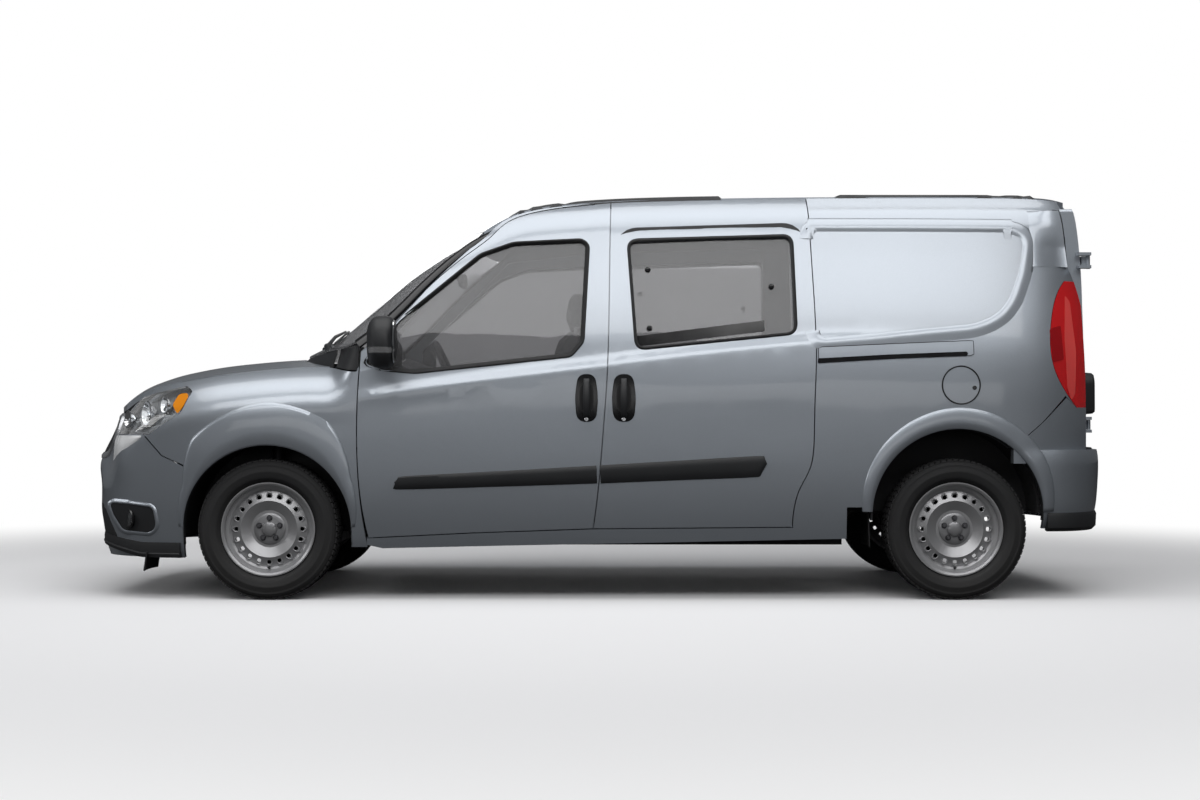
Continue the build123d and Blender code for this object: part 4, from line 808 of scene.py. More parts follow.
class VAN_OT_stage(bpy.types.Operator):
    """Floor, soft lamps, world and camera"""
    bl_idname = "van.stage"
    bl_label = "Stage"

    FLOOR_REACH = 60
    CAMERA_X = 0.010
    CAMERA_PITCH = 90.68
    SENSOR_WIDTH = 36.0

    def execute(self, context):
        sizes = context.scene.van_stage
        scene = context.scene
        scene.view_settings.view_transform = "Standard"
        world = bpy.data.worlds.new("Studio World")
        scene.world = world
        tree = node_tree(world)
        soft = add_node(tree, "ShaderNodeBackground", Color=(0.93, 0.96, 1.0, 1.0), Strength=0.10)
        white = add_node(tree, "ShaderNodeBackground", Color=(1, 1, 1, 1), Strength=1.0)
        mixed_output(tree, "ShaderNodeOutputWorld", straight_sight(tree), soft, white)

        r = self.FLOOR_REACH
        floor_mesh = bpy.data.meshes.new("Floor")
        floor_mesh.from_pydata([(-r, -r, 0), (r, -r, 0), (r, r, 0), (-r, r, 0)], [], [[0, 1, 2, 3]])
        floor = bpy.data.objects.new("Floor", floor_mesh)
        scene.collection.objects.link(floor)
        floor.data.materials.append(self.floor_material(sizes.floor_colour))

        self.lamp("Overhead Softbox", (0, -1.4, 5.4), (0, -0.6, 0), 9.0, 4.2, 240)
        self.lamp("High Side Softbox", (0.0, -6.6, 5.2), (0, -0.5, 1.0), 10.0, 2.6, 230)
        self.lamp("Low Side Fill", (0.0, -8.5, 1.4), (0, 0, 0.9), 9.0, 0.8, 26)
        self.lamp("Nose Fill", (-7.5, -2.5, 3.4), (-2, 0, 0.8), 3.0, 2.0, 60)
        self.lamp("Far Side Fill", (0.5, 7.0, 3.6), (0, 0, 1.0), 6.0, 3.0, 110)

        camera = bpy.data.cameras.new("Camera")
        camera.sensor_width = self.SENSOR_WIDTH
        camera.lens = sizes.lens
        view = bpy.data.objects.new("Camera", camera)
        view.location = (self.CAMERA_X, -sizes.camera_distance, sizes.camera_height)
        view.rotation_euler = (math.radians(self.CAMERA_PITCH), 0, 0)
        scene.collection.objects.link(view)
        scene.camera = view
        return {"FINISHED"}

    @staticmethod
    def floor_material(colour):
        """A matte floor that turns to plain white away from the van, where it is seen straight. Other rays find it at
        a tenth of its colour: a painted dark reflection in the paint and painted shade on the van's lower sides.
        """
        material = bpy.data.materials.new("Studio Floor")
        tree = node_tree(material)
        reach = tree.nodes.new("ShaderNodeVectorMath")
        reach.operation = "LENGTH"
        tree.links.new(object_place(tree), reach.inputs[0])
        away = add_node(tree, "ShaderNodeMapRange", Value=reach.outputs["Value"], From_Min=3.6, From_Max=7.0)
        away.interpolation_type = "SMOOTHSTEP"
        sight = straight_sight(tree)
        share = combined(tree, "MULTIPLY", away.outputs["Result"], sight)
        # Seen straight, the floor keeps its colour. Reflected and bounced rays find it at a tenth, which paints a dark
        # reflection and shade on the van's lower sides.
        tone = blend_colour(tree, sight, tinted(colour, 0.10), rgba(colour))
        matte = add_node(tree, "ShaderNodeBsdfDiffuse", Color=tone, Roughness=0.6)
        glow = add_node(tree, "ShaderNodeEmission", Color=(1, 1, 1, 1), Strength=1.0)
        mixed_output(tree, "ShaderNodeOutputMaterial", share, matte, glow)
        return material

    @staticmethod
    def lamp(name, place, aim, width, height, power):
        light = bpy.data.lights.new(name, "AREA")
        light.shape = "RECTANGLE"
        light.size, light.size_y, light.energy = width, height, power
        lamp = bpy.data.objects.new(name, light)
        lamp.location = place
        lamp.rotation_euler = (Vector(place) - Vector(aim)).to_track_quat("Z", "Y").to_euler()
        bpy.context.scene.collection.objects.link(lamp)


def sides_of(*names):
    return [f"{name}_{side}" for name in names for side in SIDES]


def dress(material, *names):
    """Gives CAD nodes their material."""
    for name in names:
        NODES[name].data.materials.clear()
        NODES[name].data.materials.append(material)


class VAN_OT_finishes(bpy.types.Operator):
    """Paint, plastic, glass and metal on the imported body's own nodes"""
    bl_idname = "van.finishes"
    bl_label = "Body finishes"

    def execute(self, context):
        dress(body_paint(), "roof_panel", "hood", "fuel_flap", "front_bumper", "rear_bumper",
              *sides_of("body_side", "fender", "front_door", "sliding_door", "rear_door"))
        dress(window_glass(), "windshield", "sliding_door_glass", *sides_of("front_door_glass", "rear_door_glass"))
        dress(black_plastic(), "cowl_panel", "front_grille", "wheel_liners", *sides_of("mirror"))
        dress(cabin_plastic(), "dashboard", "steering_column", "steering_wheel", *sides_of("seat"))
        dress(red_lens(), "tail_lights")
        dress(metal("Chassis Black", (0.02, 0.02, 0.022), rough=0.5, metallic=0.3, depth=0.3), "front_subframe",
              "rear_axle", *sides_of("knuckle"))
        dress(metal("Exhaust Steel", (0.30, 0.28, 0.26), rough=0.45, depth=0.3), "exhaust_and_tank")
        dress(metal("Engine Casting", (0.20, 0.20, 0.20), rough=0.6, depth=0.5), "engine_block")
        dress(plastic("Floor Covering", (0.055, 0.055, 0.058), rough=0.85, scale=700.0, depth=0.6, dusty=0.0),
              "floor_pan")
        dress(rubber(), *sides_of("tyre_front", "tyre_rear"))
        dress(wheel_paint(), *sides_of("rim_front", "rim_rear"))
        return {"FINISHED"}


FRONT_WINDOW = metres([(-1052, 1066), (-968, 1038), (-820, 1026), (-121, 1101), (-67, 1165), (-43, 1610),
                       (-73, 1634), (-385, 1618), (-533, 1565), (-893, 1262)])
SLIDE_WINDOW = [(front(1625), 1.632), (rear(-731), 1.656), (rear(-722), 1.202), (front(1661), 1.129)]


class VAN_OT_window_seals(bpy.types.Operator):
    """Rubber seals, printed bands and clips of the side windows"""
    bl_idname = "van.window_seals"
    bl_label = "Window seals"

    def execute(self, context):
        skin, pane = side_skin(), glass_skin()
        seal = [(-0.010, -0.016), (0.007, -0.004), (0.008, 0.0025), (0.002, 0.0045), (-0.006, 0.001), (-0.013, -0.008)]
        front_path = loop_path(rounded(FRONT_WINDOW, 0.018), 0.012)[::-1]
        slide_path = loop_path(rounded(SLIDE_WINDOW, 0.045), 0.012)[::-1]
        both_sides("front_window_seal", [strip_shell(front_path, seal, skin, closed=True)], rubber(),
                   "front_door_{}_body", "black_trim")
        both_sides("slide_window_seal", [strip_shell(slide_path, seal, skin, closed=True)], rubber(),
                   slot="black_trim")
        band = [(-0.058, 0.0012), (-0.058, -0.0003), (-0.002, -0.0003), (-0.002, 0.0012)]
        both_sides("slide_window_band", [strip_shell(slide_path, band, pane, closed=True)],
                   plastic("Printed Glass Band", (0.095, 0.095, 0.097), rough=0.12, depth=0.0), slot="black_trim")
        foot = plate_shell(metres([(180, 1142), (752, 1212), (752, 1262), (176, 1190)]), pane, 0.0016, 0.0012, 0.05)
        both_sides("slide_window_foot", [foot], gloss_black(), slot="black_trim")
        button = [(0, 0.0), (0.006, 0.0), (0.006, 0.009), (0.004, 0.0125), (0, 0.0135)]
        clips = [turned_shell(button, pane.point(x, z, 0.001), (0, -1, 0), 24, closed=False)
                 for x, z in metres([(227, 1494), (787, 1416), (233, 1225)])]
        both_sides("slide_window_clips", clips, gloss_black(), slot="black_trim")
        return {"FINISHED"}


def stepped_plate(outline, skin, steps):
    """A plate on the skin. At each step, (in, out), its outline draws in and stands out by that much."""
    base = np.array(outline)
    inward = base.mean(axis=0) - base
    inward /= np.linalg.norm(inward, axis=1)[:, None]
    return rings_shell([[skin.point(*(p + way * draw), out) for p, way in zip(base, inward)] for draw, out in steps])


MOULDING_SECTION = ((0.0, -0.003), (0.0, 0.5), (0.10, 0.92), (0.3, 1.0), (0.62, 0.94), (0.88, 0.6), (1.0, 0.2),
                    (1.0, -0.003))


def moulding_shell(top, bottom, skin, out):
    """A side moulding between a top and a bottom line, rounded in section and at its tips."""
    lines = [smooth_path(line, 0.02) for line in (top, bottom)]
    share = np.linspace(0, 1, max(len(line) for line in lines))
    top, bottom = (np.stack([np.interp(share, np.linspace(0, 1, len(line)), line[:, k]) for k in (0, 1)], axis=1)
                   for line in lines)
    return rings_shell([[skin.point(*(t * (1 - s) + b * s), h * out if h > 0 else h) for s, h in MOULDING_SECTION]
                        for t, b in zip(top, bottom)])


class VAN_OT_side_mouldings(bpy.types.Operator):
    """The black mouldings along the doors"""
    bl_idname = "van.side_mouldings"
    bl_label = "Side mouldings"

    def execute(self, context):
        skin = side_skin()
        out = context.scene.van_body.moulding_depth
        fore = moulding_shell(metres([(-911, 534), (-890, 552), (-848, 561), (-400, 585), (-6, 608)]),
                              metres([(-911, 530), (-902, 510), (-880, 500), (-400, 514), (-3, 527)]), skin, out)
        aft = moulding_shell(metres([(10, 609), (350, 629), (706, 650), (742, 646), (757, 618)]),
                             metres([(13, 527), (350, 541), (700, 555), (728, 566), (756, 612)]), skin, out)
        both_sides("front_door_moulding", [fore], black_plastic(), "front_door_{}_body", "black_trim")
        both_sides("slide_door_moulding", [aft], black_plastic(), slot="black_trim")
        return {"FINISHED"}


class VAN_OT_door_handles(bpy.types.Operator):
    """Upright handles in their black cups, with lock cylinders"""
    bl_idname = "van.door_handles"
    bl_label = "Door handles"

    def execute(self, context):
        skin = side_skin()
        for name, low_x, high_x, bodies in (("front_door", -0.104, 0.003, "front_door_{}_body"),
                                            ("slide_door", 0.061, 0.173, None)):
            mid, half = (low_x + high_x) / 2, (high_x - low_x) / 2
            outline = rounded([(mid + half * share, z) for share, z in (
                (-0.72, 1.018), (0.72, 1.018), (1, 0.91), (0.8, 0.803), (-0.8, 0.803), (-1, 0.91))], 0.045, 8)
            cup = stepped_plate(outline, skin, ((0.0, 0.0), (0.00144, 0.003), (0.012, 0.004)))
            both_sides(f"{name}_handle_cup", [cup], gloss_black(), bodies, "black_trim")
            hollow = rounded([(mid + half * share, z) for share, z in (
                (-0.5, 0.975), (0.5, 0.975), (0.62, 0.905), (0.5, 0.845), (-0.5, 0.845), (-0.62, 0.905))], 0.03, 8)
            both_sides(f"{name}_handle_hollow", [plate_shell(hollow, skin, 0.0048, 0.002)], rubber(), bodies,
                       "black_trim")
            grip = []
            for t in np.linspace(0, 1, 17):
                z = 0.998 - t * 0.176
                arch = max(math.sin(math.pi * t), 0.0)
                lift, width = 0.008 + 0.024 * arch ** 0.6, 0.013 + 0.004 * arch
                grip.append([skin.point(mid + math.cos(a) * width, z, lift + math.sin(a) * 0.0075)
                             for a in round_turn(14)])
            both_sides(f"{name}_handle_grip", [rings_shell(grip)], black_plastic(), bodies, "black_trim", sharp=60)
            lock = turned_shell([(0, 0.0), (0.0035, 0.0), (0.0035, 0.0075), (0.002, 0.0095), (-0.002, 0.0105)],
                                skin.point(mid, 0.815, 0.0045), (0, -1, 0), 28, closed=False)
            both_sides(f"{name}_lock", [lock], silver_metal(), bodies, "black_trim")
        return {"FINISHED"}


class VAN_OT_slide_rail(bpy.types.Operator):
    """The sliding door's rail slot and its painted cover"""
    bl_idname = "van.slide_rail"
    bl_label = "Sliding rail"

    def execute(self, context):
        skin = side_skin()
        cover = rounded(metres([(990, 1139), (1340, 1155), (1688, 1169), (1688, 1101), (1340, 1094), (990, 1071)]),
                        0.006, 3)
        both_sides("rail_cover", [plate_shell(cover, skin, 0.003, 0.003)], body_paint(), slot="body_paint")
        slot = metres([(987, 1088), (1320, 1106), (1656, 1119), (1662, 1110), (1656, 1099), (1320, 1086),
                       (987, 1066)])
        both_sides("rail_slot", [plate_shell(rounded(slot, 0.005, 3), skin, 0.0045, 0.002)], gloss_black(),
                   slot="black_trim")
        line = [(-0.0016, 0.0005), (-0.0016, 0.0036), (0.0016, 0.0036), (0.0016, 0.0005)]
        both_sides("rail_cover_gap", [strip_shell(loop_path(cover, 0.02), line, skin, closed=True)], rubber(),
                   slot="black_trim")
        return {"FINISHED"}


PRESSED_PANEL = metres([(966, 1689), (1868, 1684), (1936, 1660), (1957, 1626), (1932, 1495), (1876, 1350),
                        (1805, 1272), (1700, 1229), (1340, 1196), (986, 1165)])


FLAP_X, FLAP_Z, FLAP_RADIUS = 1.629, 0.968, 0.088


class VAN_OT_pressed_panels(bpy.types.Operator):
    """The rolled border of the quarter panel's pressed field, and the fuel flap's ring and push"""
    bl_idname = "van.pressed_panels"
    bl_label = "Pressed panels"

    def execute(self, context):
        skin = side_skin()
        deep = context.scene.van_body.panel_depth
        path = smooth_path(rounded(PRESSED_PANEL, 0.05, 5), 0.012)
        roll = [(-0.016, 0.0004), (-0.008, deep * 0.5), (0.0, deep), (0.010, deep * 1.02), (0.022, deep * 0.8),
                (0.036, deep * 0.35), (0.048, 0.0004), (0.048, -0.002), (-0.016, -0.002)]
        both_sides("pressed_panel_roll", [strip_shell(path, roll, skin)], body_paint(), slot="body_paint", sharp=80)
        ring = [(0.0005, -0.003), (0.0005, 0.0012), (0.003, 0.0022), (0.0065, 0.0008), (0.0065, -0.003)]
        circle = [(FLAP_X + FLAP_RADIUS * math.cos(a), FLAP_Z + FLAP_RADIUS * math.sin(a)) for a in round_turn(64)]
        joined("fuel_flap_ring", [strip_shell(circle, ring, skin, closed=True)], rubber(), ROOT, "black_trim")
        push = turned_shell([(0, 0.0), (0.002, 0.0), (0.002, 0.008), (0.0005, 0.010)],
                            skin.point(FLAP_X + 0.06, FLAP_Z - 0.012, 0.0), (0, -1, 0), 24, closed=False)
        joined("fuel_flap_push", [push], gloss_black(), "fuel_flap_body", "black_trim")
        return {"FINISHED"}


# Each arch: name, middle of the wheel, radius, height over the axle, foot, and how far its swell reaches at angles.
ARCHES = (
    ("front", FRONT_AXLE.x, 0.380, 0.0, 0.25,
     ((0, 32, 60, 90, 130, 152, 180), (0.394, 0.448, 0.56, 0.575, 0.53, 0.43, 0.40))),
    ("rear", REAR_AXLE.x, 0.385, 0.068, 0.36, ((0, 40, 90, 140, 180), (0.43, 0.475, 0.482, 0.46, 0.43))),
)
SWELL_CREST = 0.0075
SWELL_SECTION = ((0.0, 0.35), (0.04, 0.8), (0.35, 1.0), (0.72, 0.92), (0.9, 0.42), (1.0, 0.04))


def swell_shell(skin, x, z, inner, outer):
    """A soft swell round a wheel arch, whose outer edge follows a list of radii over the angles."""
    rings = []
    for a in np.linspace(math.radians(2), math.radians(178), 72):
        reach = np.interp(math.degrees(a), *outer) - inner
        fade = min(1.0, reach / 0.05)
        section = [(0.0, -0.008), *((share, height * SWELL_CREST * fade) for share, height in SWELL_SECTION),
                   (1.0, -0.002)]
        rings.append([skin.point(x + (inner + reach * share) * math.cos(a), z + (inner + reach * share) * math.sin(a),
                                 out) for share, out in section])
    return rings_shell(rings)


def arch_path(x, z, radius, low):
    """Points round a wheel arch, from its front foot to its rear foot."""
    over = [(x + radius * math.cos(a), z + radius * math.sin(a)) for a in np.linspace(0, math.pi, 60)]
    return even([(x + radius, low), *over, (x - radius, low)], False, 0.014)[::-1]


class VAN_OT_wheel_arches(bpy.types.Operator):
    """Painted swells round the wheel arches, and a black strip along their inner edge that paints the shade where the
    lip turns in
    """
    bl_idname = "van.wheel_arches"
    bl_label = "Wheel arches"

    def execute(self, context):
        skin = side_skin()
        # A black strip along each arch's edge: painted shade where the arch's lip turns in towards the wheel.
        edge = [(0.007, -0.040), (0.007, -0.004), (0.002, 0.001), (-0.002, -0.004), (-0.002, -0.040)]
        for name, x, radius, rise, low, outer in ARCHES:
            z = AXLE_Z + rise
            both_sides(f"{name}_haunch", [swell_shell(skin, x, z, radius, outer)], body_paint(), slot="body_paint",
                       sharp=80)
            both_sides(f"{name}_arch_edge", [strip_shell(arch_path(x, z, radius, low), edge, skin)],
                       black_plastic(), slot="black_trim")
        return {"FINISHED"}


class VAN_OT_mirrors(bpy.types.Operator):
    """Door mirrors: housing, glass, arm and sail"""
    bl_idname = "van.mirrors"
    bl_label = "Mirrors"

    MIDDLE_Z = 1.160

    def execute(self, context):
        low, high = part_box("mirror_left")
        mid_x, outer = (low.x + high.x) / 2, low.y
        inner = outer + 0.165
        housing = []
        for t in np.linspace(0, 1, 15):
            y = inner + (outer + 0.002 - inner) * t
            swell = math.sin(math.pi * (0.12 + 0.80 * t)) ** 0.55
            tall, deep = 0.118 * swell, 0.078 * swell
            housing.append([(mid_x - 0.004 + deep * bulge(math.cos(a), 0.7) * (1.0 if math.cos(a) < 0 else 0.72), y,
                             self.MIDDLE_Z + tall * bulge(math.sin(a), 0.62) - 0.006 * t) for a in round_turn(28)])
        arm = tube_shell([(mid_x - 0.004, inner + 0.030, 1.075), (mid_x - 0.004, -0.88, 1.072),
                          (mid_x - 0.008, -0.845, 1.074)], [0.030, 0.027, 0.030], 20)
        glass = rings_shell([[(mid_x + 0.040 + d, (inner + outer) / 2 + 0.062 * grow * bulge(math.cos(a), 0.6),
                               self.MIDDLE_Z + 0.098 * grow * bulge(math.sin(a), 0.6)) for a in round_turn(36)]
                             for d, grow in ((0.0, 1.0), (0.0035, 0.97))])
        lamp = rings_shell([[(mid_x - 0.012 + 0.058 * bulge(math.cos(a), 0.5) * grow, outer + d,
                              1.120 + 0.014 * bulge(math.sin(a), 0.5) * grow) for a in round_turn(32)]
                            for d, grow in ((0.03, 1.0), (0.004, 1.0), (-0.002, 0.9))])
        for name, side in SIDES.items():
            body = f"front_door_{name}_body"
            cap = joined(f"mirror_housing_{name}", on_side(side, [rings_shell(housing), arm]), black_plastic(), body,
                         "black_trim", sharp=50)
            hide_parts(f"mirror_{name}")
            joined(f"mirror_glass_{name}", on_side(side, [glass]),
                   metal("Mirror Glass", (0.85, 0.87, 0.88), rough=0.09, metallic=1.0, depth=0.0), body, "black_trim")
            joined(f"mirror_lamp_{name}", on_side(side, [lamp]), clear_lens(), body, "lamp_clear")
        sail = rounded(metres([(-1040, 1070), (-965, 1043), (-880, 1034), (-884, 1140), (-930, 1218), (-1000, 1160)]),
                       0.012, 4)
        both_sides("mirror_sail", [plate_shell(sail, side_skin(), -0.001, 0.010)], black_plastic(),
                   "front_door_{}_body", "black_trim")
        return {"FINISHED"}


def plan_ring(tree, z, centre_x, angles):
    """The body's outline in plan at a height, as (point, outward) pairs."""
    made = []
    for a in angles:
        way = Vector((math.cos(a), math.sin(a), 0))
        hit = tree.ray_cast(Vector((centre_x, 0, z)) + way * 4, -way)[0]
        if hit is not None:
            made.append((hit, way))
    return made


NOSE_TIP_X, NOSE_LENGTH = -2.345, 0.276


def lip_round(ring, section):
    """A lip along a plan outline. A corner of its section is (out, height at the nose's tip, height behind it)."""
    rings = []
    for i, (p, facing) in enumerate(ring):
        ahead, behind = ring[min(i + 1, len(ring) - 1)][0], ring[max(i - 1, 0)][0]
        outward = (ahead - behind).normalized().cross(Vector((0, 0, 1)))
        if outward.dot(facing) < 0:
            outward = -outward
        back = min(max((p.x - NOSE_TIP_X) / NOSE_LENGTH, 0), 1)
        rings.append([(p.x + outward.x * a, p.y + outward.y * a, tip + (behind_tip - tip) * back)
                      for a, tip, behind_tip in section])
    return rings_shell(rings)


def level_lip(ring, section):
    """A lip of one height along a plan outline."""
    return lip_round(ring, [(out, z, z) for out, z in section])


def outer_faces(node, way, least, keep):
    """The faces of a CAD node that look one way, as a shell."""
    bm = bmesh.new()
    bm.from_mesh(NODES[node].data)
    bmesh.ops.remove_doubles(bm, verts=bm.verts, dist=1e-5)
    way = Vector(way).normalized()
    drop = [f for f in bm.faces if f.normal.dot(way) < least or not keep(f.calc_center_median())]
    bmesh.ops.delete(bm, geom=drop, context="FACES")
    bm.verts.ensure_lookup_table()
    verts = [v.co.copy() for v in bm.verts]
    faces = [[v.index for v in f.verts] for f in bm.faces]
    bm.free()
    return verts, faces


def thickened(shell, inwards, depth):
    """An open sheet made a closed plate by moving a copy along one direction."""
    verts, faces = shell
    way = Vector(inwards).normalized() * depth
    size = len(verts)
    counts = {}
    for f in faces:
        for a, b in zip(f, f[1:] + f[:1]):
            counts[(a, b)] = counts.get((a, b), 0) + 1
    rim = [(a, b) for a, b in counts if (b, a) not in counts]
    walls = [[b, a, a + size, b + size] for a, b in rim]
    return (list(verts) + [v + way for v in verts],
            list(faces) + [[i + size for i in reversed(f)] for f in faces] + walls)


class VAN_OT_headlamps(bpy.types.Operator):
    """Headlamps: lens, dark bowl, reflectors, bulbs and the amber turn lamp"""
    bl_idname = "van.headlamps"
    bl_label = "Headlamps"

    def execute(self, context):
        skin = side_skin()
        face = outer_faces("headlights", (-0.62, -0.76, 0.2), 0.35, lambda c: c.y < 0)
        shell = thickened(face, (0.55, 0.83, 0), 0.003)
        bowl = thickened(moved(face, (0.026, 0.034, 0.0)), (0.5, 0.8, 0), 0.004)
        aim = Vector((-0.82, -0.55, 0.05))
        bulb = [(-0.012, 0.0), (-0.010, 0.008), (0.004, 0.0095), (0.010, 0.006), (0.013, 0.0)]
        cups, bulbs = [], []
        for x, z, size, deep in ((-2.050, 0.842, 0.050, -0.022), (-2.135, 0.815, 0.036, -0.020),
                                 (-1.965, 0.880, 0.034, -0.016)):
            centre = skin.point(x, z, deep)
            cup = [(0.0, size), (0.004, size + 0.003), (0.001, size + 0.006), (-0.02, size * 0.78),
                   (-0.034, size * 0.36), (-0.036, 0.001), (-0.030, 0.001), (-0.029, size * 0.33),
                   (-0.017, size * 0.74)]
            cups.append(turned_shell(cup, centre, aim, 48))
            bulbs.append(turned_shell(bulb, centre - aim * 0.016, aim, 24, closed=False))
        amber = metres([(-1921, 880), (-1900, 928), (-1862, 934), (-1850, 922), (-1868, 872), (-1893, 838)])
        parts = (
            ("lens", [shell], clear_lens()),
            ("bowl", [bowl], metal("Lamp Bowl", (0.10, 0.105, 0.11), rough=0.22, depth=0.1)),
            ("reflectors", cups, metal("Lamp Reflector", (0.80, 0.81, 0.82), rough=0.12, metallic=1.0, depth=0.0)),
            ("bulbs", bulbs, lens("Bulb Glass", (0.92, 0.94, 0.97), rough=0.1)),
            ("amber", [plate_shell(rounded(amber, 0.012, 4), skin, 0.0015, 0.006)],
             lens("Amber Lamp Lens", (0.95, 0.32, 0.015), transmission=0.2)),
        )
        for name, side in SIDES.items():
            for part, shells, material in parts:
                piece = joined(f"headlamp_{part}_{name}", on_side(side, shells), material, ROOT, "lamp_clear")
                if part == "lens" and side == LEFT:
                    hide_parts("headlights")
        return {"FINISHED"}


def level_bars(skin, rows, count, section):
    """Bars across the nose; rows gives each one's height and half its length."""
    return [strip_shell([(y, z) for y in np.linspace(-half, half, count)], section, skin) for z, half in rows]


class VAN_OT_fascia(bpy.types.Operator):
    """Grille surround and bars, wings, fog lamps, splitter, air dam and front plate"""
    bl_idname = "van.fascia"
    bl_label = "Front fascia"

    CENTRE_X = -1.75

    def execute(self, context):
        side, nose = side_skin(), front_skin()
        tree = ray_tree(["front_bumper", "front_grille"])
        wing = self.wrap(tree, (0.741, 0.70, 0.65, 0.615), -2.062, 0.620, 0.004,
                         lambda x: np.interp(x, (-2.262, -2.20, -2.062), (0.600, 0.646, 0.733)))
        both_sides("grille_wing", [wing], plastic("Satin Silver Wing", (0.90, 0.91, 0.92), rough=0.25, depth=0.0),
                   slot="black_trim")
        cheek = self.wrap(tree, (0.262, 0.31, 0.36, 0.41), -2.205, 0.525, 0.003,
                          lambda x: np.interp(x, (-2.33, -2.27, -2.205), (0.440, 0.400, 0.285)), above=True)
        both_sides("grille_cheek", [cheek], black_plastic(), slot="black_trim")
        surround = metres([(-632, 742), (-552, 830), (552, 830), (632, 742), (552, 648), (-552, 648)])
        frame_bar = [(-0.016, -0.010), (-0.014, 0.004), (0.0, 0.009), (0.014, 0.004), (0.016, -0.010)]
        joined("grille_surround", [strip_shell(loop_path(rounded(surround, 0.03, 5), 0.02), frame_bar, nose,
                                               closed=True)], silver_metal(), ROOT, "black_trim")
        bars = level_bars(nose, ((0.672, 0.560), (0.706, 0.588), (0.740, 0.612), (0.774, 0.592), (0.806, 0.566)), 60,
                          [(-0.008, -0.028), (-0.009, -0.004), (0.0, 0.001), (0.009, -0.004), (0.008, -0.028)])
        joined("grille_bars", bars, black_plastic(), ROOT, "black_trim")
        slats = level_bars(nose, ((0.300, 0.53), (0.340, 0.53), (0.380, 0.53)), 56,
                           [(-0.007, -0.026), (-0.008, -0.006), (0.0, -0.001), (0.008, -0.006), (0.007, -0.026)])
        joined("lower_grille_bars", slats, black_plastic(), ROOT, "black_trim")
        self.fog_lamps(side)
        self.lower_lips(tree)
        plate = plate_shell(rounded([(-0.26, 0.475), (0.26, 0.475), (0.26, 0.595), (-0.26, 0.595)], 0.01, 4), nose,
                            0.011, 0.006, 0.06)
        joined("front_plate", [plate], blank_plate(), ROOT, "black_trim")
        return {"FINISHED"}

    @staticmethod
    def fog_lamps(side):
        recess = rounded(metres([(-2218, 436), (-2012, 416), (-1999, 345), (-2004, 322), (-2030, 302), (-2160, 310),
                                 (-2205, 385)]), 0.02, 5)
        rim = [(0.000, -0.004), (0.001, 0.006), (0.006, 0.0075), (0.014, 0.004), (0.020, -0.002)]
        both_sides("fog_surround", [strip_shell(loop_path(recess, 0.012), rim, side, closed=True)], body_paint(),
                   slot="body_paint", sharp=70)
        both_sides("fog_recess", [plate_shell(recess, side, 0.0035, 0.005)], black_plastic(), slot="black_trim")
        aim = Vector((-0.72, -0.69, 0))
        spot = side.point(-2.135, 0.362, 0.002)
        bezel = turned_shell([(-0.004, 0.043), (0.003, 0.046), (0.006, 0.040), (0.002, 0.034), (-0.008, 0.030),
                              (-0.010, 0.040)], spot, aim, 48)
        both_sides("fog_bezel", [bezel], gloss_black(), slot="black_trim")
        glass = turned_shell([(-0.006, 0.0), (-0.006, 0.033), (0.001, 0.033), (0.005, 0.02), (0.006, 0.0)], spot,
                             aim, 40, closed=False)
        both_sides("fog_glass", [glass], clear_lens(), slot="lamp_clear")

    def lower_lips(self, tree):
        angles = np.linspace(math.radians(99), math.radians(261), 120)
        splitter = lip_round(plan_ring(tree, 0.285, self.CENTRE_X, angles), [
            (-0.060, 0.262, 0.208), (0.002, 0.272, 0.215), (0.010, 0.262, 0.206), (0.006, 0.250, 0.190),
            (-0.060, 0.246, 0.186)])
        joined("splitter", [splitter], black_plastic(), ROOT, "black_trim")
        apron = lip_round(plan_ring(tree, 0.30, self.CENTRE_X, angles), [
            (-0.020, 0.262, 0.206), (0.003, 0.264, 0.208), (0.0045, 0.280, 0.240), (0.002, 0.296, 0.258),
            (-0.020, 0.296, 0.258)])
        joined("lower_apron", [apron], black_plastic(), ROOT, "black_trim")
        tab = []
        for share in np.linspace(0, 1, 14):
            x, y = -2.040 - 0.012 * math.sin(math.pi * share), -0.58 - 0.26 * share
            tab.append([(x, y, 0.215), (x - 0.012, y, 0.132), (x - 0.006, y, 0.129), (x + 0.006, y, 0.215)])
        both_sides("air_dam_tab", [rings_shell(tab)], black_plastic(), slot="black_trim")

    def wrap(self, tree, levels, last_x, least_y, out, edge, above=False):
        """A thin plate wrapped round the nose between levels, cut along an edge that moves with x."""
        rings = []
        for a in np.linspace(math.radians(208), math.radians(262), 80):
            way = Vector((math.cos(a), math.sin(a), 0))
            hits = [tree.ray_cast(Vector((self.CENTRE_X, 0, z)) + way * 4, -way)[0] for z in levels]
            if None in hits or hits[0].x > last_x or hits[0].y > -least_y:
                continue
            limit = edge(hits[0].x)
            low, high = (levels[0], limit) if above else (limit, levels[0])
            heights, known = zip(*sorted(zip(levels, hits), key=lambda pair: pair[0]))
            column = [Vector((np.interp(z, heights, [p.x for p in known]), np.interp(z, heights, [p.y for p in known]),
                              z)) for z in np.linspace(low, high, 5)]
            outer = [p + way * (out if 0 < k < 4 else 0.0005) for k, p in enumerate(column)]
            rings.append(outer + [p - way * 0.004 for p in reversed(column)])
        return rings_shell(rings)


